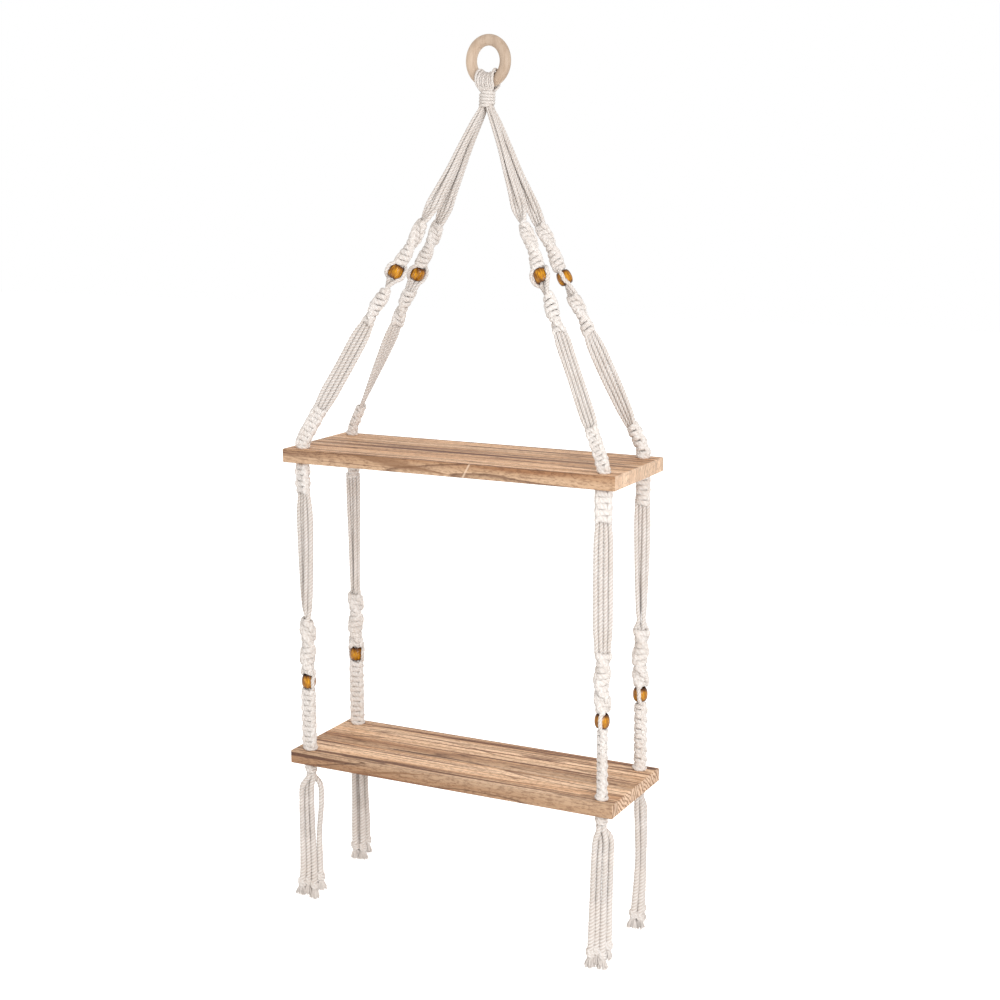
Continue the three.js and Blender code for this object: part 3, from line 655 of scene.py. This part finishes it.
# The four cords of a leg between the two boards
def work_lower_leg(leg):
    work = Legwork(lower_line(leg))
    work.turn = leg.under_knot_turn
    bead_top = leg.lower_bead_drop - HALF_BEAD - SEAT_GAP
    spiral_start = bead_top - LOWER_SPIRAL_LENGTH
    for place in (UNDER_SENNIT_LENGTH - CORD_DIAMETER, UNDER_SENNIT_LENGTH + SEAT_GAP):
        work.spread(place, 0, RUN_WIDTH / 4, FILLER_RADIUS)
    spun = 180 * LOWER_SPIRAL_LENGTH / LOWER_HALF_TURN_LENGTH
    turn = leg.lower_knot_turn - spun
    work.run(UNDER_SENNIT_LENGTH, spiral_start, turn, leg.lower_gather, leg.lower_spread, LATE_TURN)
    work.knots(spiral_start, bead_top - BEAD_REST, LOWER_SPIRAL_WIDTH, LOWER_HALF_TURN_LENGTH, cut=True)
    work.pass_bead(leg.lower_bead_drop, leg.lower_bead_turn, leg.sennit_turn)
    end = TIER_DROP - BOARD_THICKNESS - SEAT_GAP
    work.knots(leg.lower_bead_drop + HALF_BEAD + BEAD_REST, end - SENNIT_REST, leg.lower_sennit)
    work.spread(end, 0.9, FILLER_RADIUS, FILLER_RADIUS)
    return work


# One stretch of a cord. An end that meets the next stretch goes on a little way inside it
def stretch(rings, along, pressed, first, last):
    before = min(first, len(OVERLAP_SHRINK))
    after = min(len(rings) - 1 - last, len(OVERLAP_SHRINK))
    taken = slice(first - before, last + after + 1)
    cut = rings[taken]
    whole = [1] * (last - first + 1)
    shrink = np.array((*OVERLAP_SHRINK[:before][::-1], *whole, *OVERLAP_SHRINK[:after]))
    centres = cut.mean(axis=1, keepdims=True)
    return centres + (cut - centres) * shrink[:, None, None], along[taken], pressed[taken]


# The cords of a leg as meshes, each stretch between two cuts in its own skein
def share_out(work, skeins):
    for cord, cuts in zip(work.made, work.cuts):
        points, radii, centres, tangents, pressed = (np.array(column) for column in zip(*cord))
        line, rows = smooth_line(points, STEP)
        steps = np.arange(len(line))
        radii, pressed = (np.interp(steps, rows, values) for values in (radii, pressed))
        rings, along = ply_rings(line, radii, rng.uniform(0, LAY), pressed)
        centres, tangents = (
            np.stack([np.interp(steps, rows, column) for column in values.T], axis=1)
            for values in (centres, tangents)
        )
        rings = press(rings, line, centres, tangents, pressed)
        ends = [0] + [rows[cut] for cut in cuts] + [rows[-1]]
        for skein, first, last in zip(skeins, ends, ends[1:]):
            skein.add_rings(*stretch(rings, along, pressed, first, last))


def make_leg_cords(leg):
    nodes = ("top_run", "upper_spiral", "middle_run", "shelf_knot", "lower_run", "lower_sennit")
    skeins = [Skein() for _ in nodes]
    share_out(work_upper_leg(leg), skeins[:4])
    share_out(work_lower_leg(leg), skeins[4:])
    line, knee_place = upper_line(leg)
    foot = line(knee_place + KNEE_RISE - FOOT_RISE)[0]
    wrap_band(skeins[3], foot, DOWN, UPPER_FOOT_SHARE * leg.upper_sennit, *FOOT_BAND)
    for node, skein in zip(nodes, skeins):
        piece = skein.piece(f"{leg.name}_{node}_cords")
        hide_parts(f"{leg.name}_{node}")
        if node == "lower_run":
            x, y, z = lower_line(leg)(UNDER_SENNIT_LENGTH)[0] * MM
            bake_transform(piece)
        else:
            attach(piece, f"{leg.name}_rope" if node == "lower_sennit" else "hanger")


# Places under the lower board, in a frame that faces the way the strands fan out
def under_board(leg, right, depth, height):
    x, y = rotated(right, depth, FAN_TURN)
    return np.array((leg.side * HOLE_X + x, row_y(leg.row) + y, height))


# The front strands hang side by side, and the back ones stay two deep
def strand_points(leg, index):
    length = leg.strand_length * STRAND_LENGTH_SHARES[index] * STRAND_REACH
    closing = FRONT_CLOSING if leg.row < 0 else 0
    first_right, depth = STRAND_PLACES[index]
    points = [
        under_board(leg, right, depth * (1 - closing * min(1, 4 * share)), STRAND_EXIT - share * length)
        for share, right in zip(STRAND_DROP_SHARES, (first_right, *leg.lateral[index]))
    ]
    points.insert(1, points[0] + DOWN * CORD_DIAMETER)
    return points, length


# A round of cord whose ends are tucked in, as in a small overhand knot
def wrap_band(skein, centre, axis, reach, radius, tilt, sweep, rise):
    side = unit(np.cross(axis, (0.2, 1, 0.1)))
    front = np.cross(axis, side)
    points = []
    for share in np.linspace(-1, 1, BAND_POINTS):
        angle = radians(sweep) * share
        shown = min(1, (1 - abs(share)) * 5)
        out = reach * (BAND_TUCKED_SHARE + (1 - BAND_TUCKED_SHARE) * shown**0.5)
        along = tilt * sin(angle) + rise * share
        points.append(centre + out * (sin(angle) * side - cos(angle) * front) + along * axis)
    skein.add_cord(points, radius, STEP * 0.8, BAND_PRESS)


def make_strand(leg, index):
    points, length = strand_points(leg, index)
    line, _ = smooth_line(points, STEP)
    along = lengths_along(line)
    shown = along <= length - TIP_LENGTH * 0.5
    line = line[shown]
    opened = np.clip((along[shown] / length - STRAND_OPENS_AT) / STRAND_OPENED_AFTER, 0, 1)
    tapered = np.clip((length - TIP_LENGTH * 0.3 - along[shown]) / 4, 0.5, 1)
    radii = STRAND_RADIUS * (1 + STRAND_OPENING * opened) * tapered
    skein = Skein()
    skein.add_rings(*ply_rings(line, radii, rng.uniform(0, LAY)))
    name = f"{leg.name}_strand_{index + 1}"
    strand = skein.piece(f"{name}_cord")
    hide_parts(name)

    knot_row = np.searchsorted(along, length - TIP_LENGTH - TIP_KNOT_LENGTH / 2)
    axis = unit(line[min(knot_row + 2, len(line) - 1)] - line[knot_row - 2])
    knots = Skein()
    for shift, turned in zip(TIP_BAND_SHIFTS, (1, -1)):
        wrap_band(knots, line[knot_row] + shift * axis, axis * turned, TIP_BAND_REACH, *TIP_BAND)
    knot = knots.piece(f"{name}_knot")

    tip_row = np.searchsorted(along, length - TIP_LENGTH)
    fray = make_fray(f"{name}_fray", line[tip_row] - axis, axis)
    for piece in (strand, knot, fray):
        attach(piece, "lower_assembly")


# The frayed tip of a strand: yarns that spread from its last knot
def make_fray(name, root, axis):
    side = unit(np.cross(axis, (0.3, 1, 0)))
    front = np.cross(axis, side)
    skein = Skein()
    for _ in range(FRAY_YARNS):
        angle = rng.uniform(0, 2 * pi)
        out = sqrt(rng.uniform(0, 1))
        away = cos(angle) * side + sin(angle) * front
        drift = rng.uniform(-0.5, 0.5, 3)
        end = FRAY_LENGTH * rng.uniform(0.85, 1.08)
        points = [
            root + away * reach * out + axis * end * down + drift * loose
            for reach, down, loose in FRAY_PATH
        ]
        points[-1] += away * 2 * drift[0] * out + axis * FRAY_LAST
        line, _ = smooth_line(points, FRAY_STEP)
        skein.add_rings(rings_along(line, FRAY_YARN_RADIUS, FRAY_SIDES), lengths_along(line))
    return skein.piece(name, plied=False)


# The knot under the lower board, with the cords that come down to it through the hole
def make_stopper(leg):
    skein = Skein()
    snug = 2 * HOLE_RADIUS / STRAND_PITCH
    # Each point's share of the strand's place, its height and its radius
    places = (
        (snug, LOWER_TOP + 1.5, HOLE_RADIUS),
        (snug, LOWER_TOP - BOARD_THICKNESS / 2, HOLE_RADIUS),
        (snug, LOWER_UNDERSIDE, HOLE_RADIUS),
        (0.95, LOWER_UNDERSIDE - 4, 2.1),
        (1, STRAND_EXIT + 3, FREE_RADIUS),
        (1, STRAND_EXIT - 2, 1.9),
    )
    for right, depth in STRAND_PLACES:
        points = [under_board(leg, share * right, share * depth, height) for share, height, _ in places]
        skein.add_cord(points, [radius for _, _, radius in places])
    middle = under_board(leg, 0, 0, LOWER_UNDERSIDE - STOPPER_LENGTH * 0.52)
    for shift in (-STOPPER_BAND_SHIFT, STOPPER_BAND_SHIFT):
        wrap_band(skein, middle + shift * DOWN, DOWN, STOPPER_RADIUS - 2.2, *STOPPER_BAND)
    foot = under_board(leg, 0, 0, LOWER_TOP + FOOT_RISE)
    wrap_band(skein, foot, DOWN, LOWER_FOOT_SHARE * leg.lower_sennit, *FOOT_BAND)
    piece = skein.piece(f"{leg.name}_stopper_knot_cords")
    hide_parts(f"{leg.name}_stopper_knot")
    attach(piece, "lower_assembly")


# Eight loops over the ring's foot, whose legs go down inside the winding
def make_head_loops():
    skein = Skein()
    angles = np.radians(np.linspace(*LOOP_ARC))
    seat = RING_TUBE_RADIUS + LOOP_CLEARANCE + LOOP_RADIUS
    pitch = (LOOPS_WIDTH - CORD_DIAMETER) / (LOOP_COUNT - 1)
    for i in range(LOOP_COUNT):
        x = (i - (LOOP_COUNT - 1) / 2) * pitch
        lifted = LOOP_LIFT * (i % 2) + rng.uniform(-LOOP_JITTER, LOOP_JITTER)
        lifted += LOOP_OUTER_ROOM * (2 * x / LOOPS_WIDTH) ** 4
        over = []
        for angle in angles:
            before = max(0, cos(angle))
            behind = max(0, -cos(angle))
            spread = LOOP_TOP_SHARE + LOOP_FRONT_SPREAD * before - LOOP_BACK_GATHER * behind
            beside = x * spread + rng.uniform(-LOOP_JITTER, LOOP_JITTER)
            reach = RING_RADIUS - sin(angle) * (seat + lifted)
            depth = LOOP_BACK_ROOM * behind - cos(angle) * (seat + lifted)
            height = -RING_CENTRE_DROP - sqrt(reach**2 - beside**2)
            over.append(np.array((*rotated(beside, depth, RING_TURN), height)))
        points = neck_points(x, -1)[::-1] + over + neck_points(x, 1)
        radii = (*NECK_THINNING, *[LOOP_RADIUS] * len(over), *NECK_THINNING[::-1])
        skein.add_cord(points, radii, pressed=LOOP_PRESS)
    piece = skein.piece("head_loops_cords")
    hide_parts("head_loops")
    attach(piece, "hanger")


# A loop's leg in front of the neck's middle or behind it, at the mouth and then inside the winding
def neck_points(x, front):
    share = 2 * x / LOOPS_WIDTH
    round_out = sqrt(max(0, 1 - share**2))
    inner = NECK_RADIUS - 1.5
    points = [
        np.array((narrow * x, front * (deep + bulge * round_out) - forward, rise - WRAP_TOP_DROP))
        for narrow, deep, bulge, forward, rise in NECK_MOUTH
    ]
    inside = np.array((share * inner, front * (0.6 + 0.85 * inner * round_out), 0))
    return points + [WRAP_TOP + WRAP_DIRECTION * place + inside for place in NECK_PLACES]


# The winding: one unbroken cord whose two ends are tucked in behind it
def make_head_wrap():
    tube = WRAP_CORD_DIAMETER / 2
    reach = NECK_RADIUS + SEAT_GAP + tube
    points = []
    last = 360 * SHOWN_WRAP_TURNS
    for angle in np.arange(-WRAP_TUCK, last + WRAP_TUCK + 1, 15):
        past = max(-angle, angle - last, 0) / WRAP_TUCK
        along = tube - SHOWN_WRAP_RISE + WRAP_PITCH * np.clip(angle, 0, last) / 360
        out = reach - WRAP_TUCK_DEPTH * past**1.5
        turned = radians(angle)
        around = np.array((sin(turned), -cos(turned), 0))
        points.append(WRAP_TOP + WRAP_DIRECTION * along + out * around)
    skein = Skein()
    skein.add_cord(points, WRAP_PITCH / 2 + 0.2, 1.0, 1.0)
    piece = skein.piece("head_wrap_cord")
    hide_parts("head_wrap")
    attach(piece, "hanger")


# A closed surface from a grid of points that meets itself both ways
def closed_grid(name, grid):
    rows, columns = grid.shape[:2]
    index = np.arange(rows * columns).reshape(rows, columns)
    right = np.roll(index, -1, axis=1)
    faces = np.stack([index, right, np.roll(right, -1, axis=0), np.roll(index, -1, axis=0)], axis=-1)
    step = np.array((1 / columns, 1 / rows))
    near = np.stack(np.meshgrid(np.arange(columns) / columns, np.arange(rows) / rows), axis=-1)
    corners = np.stack([near, near + step * (1, 0), near + step, near + step * (0, 1)], axis=2)
    return new_mesh(name, grid.reshape(-1, 3), faces.reshape(-1, 4).tolist(), "round", corners)


def make_ring():
    around = np.radians(np.arange(0, 360, 3))
    section = np.radians(np.arange(360, 0, -10))
    reach = RING_RADIUS + RING_TUBE_RADIUS * np.cos(section)[:, None]
    x = reach * np.cos(around)
    z = reach * np.sin(around) - RING_CENTRE_DROP
    y = np.broadcast_to(RING_TUBE_RADIUS * np.sin(section)[:, None], x.shape)
    grid = np.stack([*rotated(x, y, RING_TURN), z], axis=-1)
    piece = new_piece("ring_wood", closed_grid("ring_wood", grid), beech)
    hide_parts("ring")
    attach(piece, "ring")


# A bead's profile, from one rim over its barrel to the other and back through its bore
def bead_profile():
    swell = BEAD_RADIUS - BEAD_END_RADIUS
    profile = [
        (BEAD_END_RADIUS + swell * (1 - abs(share) ** BEAD_BULGE), share * HALF_BEAD)
        for share in np.linspace(-0.93, 0.93, 23)
    ]
    closing = [
        (BEAD_END_RADIUS + 0.05, HALF_BEAD - 0.25),
        (BEAD_END_RADIUS - 0.9, HALF_BEAD),
        (BEAD_BORE_RADIUS + 0.5, HALF_BEAD),
        (BEAD_BORE_RADIUS, HALF_BEAD - 0.6),
    ]
    opening = [(radius, -height) for radius, height in reversed(closing)]
    return np.array(opening + profile + closing)


def make_bead(leg, level, line, place):
    name = f"{leg.name}_{level}_bead"
    point, tangent = line(place)
    side, front = across(tangent, 0)
    profile = bead_profile()
    angles = np.radians(np.arange(0, 360, 7.5))
    radial = np.cos(angles)[:, None] * side - np.sin(angles)[:, None] * front
    grid = point + profile[:, None, :1] * radial[None] + profile[:, None, 1:] * tangent
    piece = new_piece(f"{name}_wood", closed_grid(f"{name}_wood", grid), amber)
    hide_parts(name)
    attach(piece, f"{name}_body")


# The nodes of a material or world. A value is a number, a colour or another node's output
class Shade:
    def __init__(self, owner):
        self.owner = owner
        owner.use_nodes = True
        self.tree = owner.node_tree
        self.tree.nodes.clear()

    def add(self, kind, output=0, inputs=(), **settings):
        node = self.tree.nodes.new("ShaderNode" + kind)
        for name, value in settings.items():
            setattr(node, name, value)
        for key, value in dict(inputs).items():
            if isinstance(value, bpy.types.NodeSocket):
                self.tree.links.new(value, node.inputs[key])
            else:
                node.inputs[key].default_value = value
        return node.outputs[output]

    def math(self, operation, *values, clamp=False):
        return self.add("Math", inputs=enumerate(values), operation=operation, use_clamp=clamp)

    def product(self, first, second):
        return self.math("MULTIPLY", first, second)

    def scaled(self, value, scale, offset):
        return self.math("MULTIPLY_ADD", value, scale, offset)

    def apart(self, first, second):
        return self.math("ABSOLUTE", self.math("SUBTRACT", first, second))

    def places(self):
        return self.add("TexCoord", "Object")

    def split(self, vector):
        return self.add("SeparateXYZ", inputs={"Vector": vector}).node.outputs

    def stretched(self, vector, scale, turn=(0, 0, 0)):
        return self.add("Mapping", inputs={"Vector": vector, "Scale": scale, "Rotation": turn})

    def shifted(self, vector, **parts):
        shift = self.add("CombineXYZ", inputs=parts)
        return self.add("VectorMath", inputs=((0, vector), (1, shift)), operation="ADD")

    # A scale may be one number, or one for each direction
    def noise(self, vector, scale, detail, roughness, distortion=0.0):
        if isinstance(scale, tuple):
            vector = self.stretched(vector, scale)
            scale = 1.0
        inputs = {"Vector": vector, "Scale": scale, "Detail": detail, "Roughness": roughness}
        inputs["Distortion"] = distortion
        return self.add("TexNoise", inputs=inputs)

    # A stop's colour may be a single number, for a grey
    def ramp(self, value, *stops):
        output = self.add("ValToRGB", inputs={"Fac": value})
        elements = output.node.color_ramp.elements
        while len(elements) < len(stops):
            elements.new(0.5)
        for element, (position, colour) in zip(elements, stops):
            element.position = position
            element.color = (*colour, 1) if isinstance(colour, tuple) else (colour, colour, colour, 1)
        return output

    def mix(self, share, first, second, blend_type="MIX"):
        inputs = {0: share}
        for key, colour in ((6, first), (7, second)):
            inputs[key] = (*colour, 1) if isinstance(colour, tuple) else colour
        return self.add("Mix", 2, inputs, data_type="RGBA", blend_type=blend_type)

    def times(self, colour, factor, share=1.0):
        return self.mix(share, colour, factor, "MULTIPLY")

    def bump(self, height, distance, strength):
        return self.add("Bump", inputs={"Height": height, "Distance": distance, "Strength": strength})

    # 1 for rays that come from the camera, straight or by way of gloss or glass
    def seen(self):
        path = self.add("LightPath").node.outputs
        indirect = self.math("MAXIMUM", path["Is Glossy Ray"], path["Is Transmission Ray"])
        return self.math("MAXIMUM", path["Is Camera Ray"], indirect)

    def surface(self, shader, kind="Material"):
        output = self.tree.nodes.new("ShaderNodeOutput" + kind)
        self.tree.links.new(shader, output.inputs["Surface"])
        return self.owner

    def finish(self, colour, roughness, normal, extra=()):
        inputs = {"Base Color": colour, "Roughness": roughness, "Normal": normal, **dict(extra)}
        return self.surface(self.add("BsdfPrincipled", inputs=inputs))


def new_shade(name):
    return Shade(bpy.data.materials.new(name))


# Three-ply cotton: pale crests, painted shade in the grooves between the plies, fine yarns and soft fluff
def cotton_material(name, crest, shade_colour, plied=True):
    shade = new_shade(name)
    around, along, _ = shade.split(shade.add("UVMap", uv_map="cord"))
    places = shade.places()
    fluff = shade.noise(places, 1500, 3, 0.6)
    patches = shade.noise(places, 38, 3, 0.55)
    yarn_turns = shade.scaled(along, 5.0, shade.product(around, 15.0))
    yarns = shade.math("SINE", shade.product(yarn_turns, 2 * pi))
    height = shade.scaled(yarns, 0.3 if plied else 0.0, fluff)
    if plied:
        # Painted shade: the shade colour darkens the grooves between the plies, less where the cord is
        # pressed
        plies = shade.math("COSINE", shade.product(around, 2 * PLIES * pi))
        depth = shade.scaled(plies, -0.5, 0.5)
        depth = shade.math("POWER", depth, 1.5)
        pressed = shade.add("Attribute", "Fac", attribute_name="pressed")
        shown = shade.scaled(pressed, -PRESSED_FADE, 1.0)
        depth = shade.product(depth, shown)
    else:
        # On the fray the shade colour is mixed in by the fluff noise
        depth = shade.product(fluff, 0.5)
    colour = shade.mix(depth, crest, shade_colour)
    colour = shade.times(colour, shade.ramp(patches, (0.3, (0.93, 0.905, 0.88)), (0.62, 1)))
    colour = shade.times(colour, shade.ramp(fluff, (0.3, (0.88, 0.87, 0.86)), (0.6, 1)))
    sheen = {"Sheen Weight": 0.2, "Sheen Roughness": 0.5}
    return shade.finish(colour, 0.92, shade.bump(height, 0.0003, 0.7), sheen)


# Pale beech, darkened towards the ring's right by painted shade
def beech_material():
    shade = new_shade("ring_beech")
    places = shade.places()
    grain = shade.noise(places, (420, 420, 26), 4, 0.6, 0.4)
    bands = shade.noise(places, (90, 90, 6), 2, 0.5, 0.3)
    colour = shade.ramp(bands, (0.3, (0.52, 0.4, 0.3)), (0.7, (0.69, 0.565, 0.445)))
    colour = shade.times(colour, shade.ramp(grain, (0.35, (0.86, 0.82, 0.78)), (0.6, 1)))
    # Painted shade: the ring is darker on its right, as though lit from the left
    side = shade.scaled(shade.split(places)[0], RING_SHADE_SLOPE, 0.5)
    side_shade = shade.ramp(side, (0.1, 1), (0.5, (0.8, 0.77, 0.75)), (0.9, (0.73, 0.7, 0.68)))
    colour = shade.times(colour, side_shade)
    rough = shade.ramp(grain, (0.3, 0.5), (0.7, 0.62))
    return shade.finish(colour, rough, shade.bump(grain, 0.0001, 0.5))


# Honey-stained wood under lacquer, darker at the rims, with painted shade where the surface turns away from
# the view, and streaks along the bead
def amber_material():
    shade = new_shade("bead_amber")
    wound = shade.add("UVMap", uv_map="round")
    along = shade.split(wound)[1]
    streaks = shade.noise(wound, (30, 1.6, 1), 3, 0.55, 0.3)
    clouds = shade.noise(shade.places(), 120, 2, 0.5)
    stains = ((0.3, (0.12, 0.04, 0.002)), (0.47, (0.36, 0.14, 0.003)), (0.66, (0.68, 0.33, 0.008)))
    colour = shade.ramp(streaks, *stains)
    colour = shade.times(colour, shade.ramp(clouds, (0.32, (0.6, 0.52, 0.45)), (0.58, (1.1, 1.08, 1))))
    colour = shade.times(colour, shade.ramp(shade.apart(along, 0.5), (0.2, 1), (0.36, (0.24, 0.17, 0.12))))
    # Painted shade: darker where the surface turns away from the view
    away = shade.add("LayerWeight", "Facing", inputs={"Blend": 0.5})
    colour = shade.times(colour, shade.ramp(away, (0.35, 1), (0.9, (0.35, 0.24, 0.16))))
    lacquer = {"Specular IOR Level": 0.12, "Coat Weight": 0.35, "Coat Roughness": 0.06}
    return shade.finish(colour, 0.45, shade.bump(streaks, 0.00015, 0.3), lacquer)


# A slanting dark figure on the front of a board
def front_figure(shade, x, height, look):
    (x1, z1), (x2, z2) = look.figure_start, look.figure_end
    slope = (z2 - z1) / (x2 - x1)
    centre = shade.scaled(x, slope, z1 - slope * x1)
    away = shade.apart(height, centre)
    from_middle = shade.apart(x, (x1 + x2) / 2)
    inside = shade.math("LESS_THAN", from_middle, (x2 - x1) / 2)
    reach = shade.scaled(from_middle, -2 * look.figure_width / (x2 - x1), look.figure_width)
    core = shade.math("MULTIPLY_ADD", shade.math("DIVIDE", away, reach), -1.6, 1.6, clamp=True)
    return shade.product(core, inside)


# A board glued up from strips, with long grain, dark latewood lines and end grain of its own tone, and
# painted shade on its front face and along its back edge
def board_material(node, look):
    shade = new_shade(f"{node}_wood")
    lowest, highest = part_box(node)
    places = shade.places()
    x, y, z = shade.split(places)
    strips = shade.scaled(y, 1 / BOARD_STRIP, look.seed)
    strip = shade.math("FLOOR", strips)
    tone = shade.add("TexWhiteNoise", "Value", inputs={"W": strip}, noise_dimensions="1D")
    patch = shade.product(strip, 1.71)
    moved = shade.shifted(places, X=patch, Y=shade.product(patch, 2.3))
    wander = shade.noise(moved, (3, 30, 30), 2, 0.5)
    bent = shade.shifted(moved, Y=shade.product(wander, 0.01))
    tilted = shade.stretched(bent, (1, 1, 1), (radians(34), 0, 0))
    lines = shade.noise(tilted, (2.2, 250, 110), 3, 0.6)
    flecks = shade.noise(tilted, (150, 480, 420), 3, 0.7)
    swell = shade.noise(tilted, (1.5, 20, 20), 2, 0.5, 0.2)
    wave = shade.math("FRACT", shade.product(swell, 12.0))
    broad = shade.noise(tilted, (2, 75, 40), 3, 0.55)
    earlywood = ((0.32, (0.4, 0.195, 0.085)), (0.45, (0.62, 0.4, 0.24)), (0.62, (0.8, 0.585, 0.405)))
    colour = shade.ramp(broad, *earlywood)
    latewood = shade.ramp(wave, (0.0, 0), (0.76, 0.12), (0.93, 1), (0.99, 0))
    colour = shade.mix(shade.product(latewood, 0.85), colour, (0.15, 0.06, 0.022))
    colour = shade.times(colour, shade.ramp(lines, (0.38, (0.22, 0.11, 0.055)), (0.46, 1)), 0.92)
    colour = shade.times(colour, shade.ramp(flecks, (0.38, (0.42, 0.33, 0.27)), (0.54, 1)), 0.65)
    low, high = (tuple(look.pale * value for value in stop) for stop in STRIP_TONES)
    colour = shade.times(colour, shade.ramp(tone, (0.0, low), (1.0, high)))
    seam = shade.ramp(shade.apart(shade.math("FRACT", strips), 0.5), (0.455, 0), (0.485, 0.65))
    colour = shade.mix(seam, colour, (0.2, 0.1, 0.05))
    # Painted shade: a darker strip along the back edge
    back_edge_shade = shade.math("GREATER_THAN", y, highest.y - BACK_SHADE_WIDTH)
    colour = shade.mix(shade.product(back_edge_shade, 0.6), colour, (0.25, 0.12, 0.06))
    end, front = (
        shade.math("GREATER_THAN", shade.math("ABSOLUTE", part), FACING)
        for part in shade.split(shade.add("TexCoord", "Normal"))[:2]
    )

    # Painted shade: the front face is darkened, with the real figure and finger joint drawn over it
    shaded_front_colour = shade.times(colour, look.front_tone)
    height = shade.scaled(wander, 0.012, shade.math("SUBTRACT", z, 0.006))
    figured = shade.product(front_figure(shade, x, height, look), 0.75)
    shaded_front_colour = shade.mix(figured, shaded_front_colour, (0.2, 0.095, 0.04))
    if look.finger_joint:
        slanted = shade.scaled(z, -FINGER_SLANT, x)
        middle = look.finger_joint - FINGER_SLANT * (lowest.z + highest.z) / 2
        joint = shade.math("LESS_THAN", shade.apart(slanted, middle), FINGER_SEAM)
        shaded_front_colour = shade.mix(shade.product(joint, 0.5), shaded_front_colour, (0.8, 0.62, 0.46))
    colour = shade.mix(front, colour, shaded_front_colour)

    slope = shade.scaled(tone, 2.2, -0.6)
    slanted = shade.scaled(z, slope, y)
    rings = shade.scaled(slanted, RINGS_PER_METRE, shade.product(broad, 2.5))
    rings = shade.ramp(shade.math("FRACT", rings), (0.0, 1), (0.3, 0.9), (0.5, 0))
    end_colour = shade.mix(look.end_share, colour, look.end_tone)
    end_colour = shade.mix(shade.product(rings, look.ring_share), end_colour, (0.24, 0.12, 0.055))
    colour = shade.mix(end, colour, end_colour)
    relief = shade.math("ADD", flecks, lines)
    return shade.finish(colour, 0.62, shade.bump(relief, 0.00012, 0.5))


# A pale surface that shows almost white to the camera without lighting the object
def pale_stage(name, colour, lift):
    shade = new_shade(name)
    diffuse = shade.add("BsdfDiffuse", inputs={"Color": (*colour, 1)})
    glow = shade.add("Emission", inputs={"Strength": shade.product(shade.seen(), lift)})
    return shade.surface(shade.add("AddShader", inputs=((0, diffuse), (1, glow))))


def add_floor():
    mesh = bpy.data.meshes.new("floor")
    turns = ((-1, -1), (1, -1), (1, 1), (-1, 1))
    corners = [(FLOOR_HALF * x, FLOOR_HALF * y, FLOOR_Z) for x, y in turns]
    mesh.from_pydata(corners, [], [(0, 1, 2, 3)])
    mesh.materials.append(pale_stage("floor_white", (0.8, 0.79, 0.78), 0.8))
    floor = add_object("floor", mesh)


def add_world():
    shade = Shade(bpy.data.worlds.new("studio"))
    light = shade.add("Background", inputs={"Color": WORLD_COLOUR, "Strength": WORLD_STRENGTH})
    white = shade.add("Background", inputs={"Color": (1, 1, 1, 1)})
    mixed = shade.add("MixShader", inputs=((0, shade.seen()), (1, light), (2, white)))
    bpy.context.scene.world = shade.surface(mixed, "World")


def add_light(name, place, target, size, power):
    data = bpy.data.lights.new(name, "AREA")
    data.shape = "DISK"
    data.size = size
    data.energy = power
    data.color = LIGHT_COLOUR
    add_object(name, data).matrix_world = facing_from(place, Vector(place) - Vector(target))


bpy.context.scene.view_settings.view_transform = "Standard"
add_camera()
# Each cotton's second colour is its painted shade colour
cotton = cotton_material("cotton_cord", (0.785, 0.755, 0.73), (0.62, 0.55, 0.5))
cotton_fray = cotton_material("cotton_fray", (0.79, 0.755, 0.73), (0.6, 0.53, 0.475), plied=False)
beech = beech_material()
amber = amber_material()

for leg in LEGS:
    for index in range(4):
        make_strand(leg, index)
for leg in LEGS:
    make_leg_cords(leg)
    make_stopper(leg)
    make_bead(leg, "upper", upper_line(leg)[0], UPPER_BEAD_PLACE)
    make_bead(leg, "lower", lower_line(leg), leg.lower_bead_drop)
make_head_loops()
make_head_wrap()
make_ring()

for node, look in BOARD_LOOKS.items():
    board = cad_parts[node]
    board.data.materials.clear()
    board.data.materials.append(board_material(node, look))

add_floor()
add_world()
add_light("key", (1.5, -1.2, -0.25), (0, -0.05, -0.5), 1, 19)
add_light("spark", (0.9, -1.3, 0.7), (0, -0.05, -0.4), 0.3, 5)
add_light("fill", (-1.2, -1.7, -0.9), (-0.1, 0, -0.8), 1.2, 7.5)
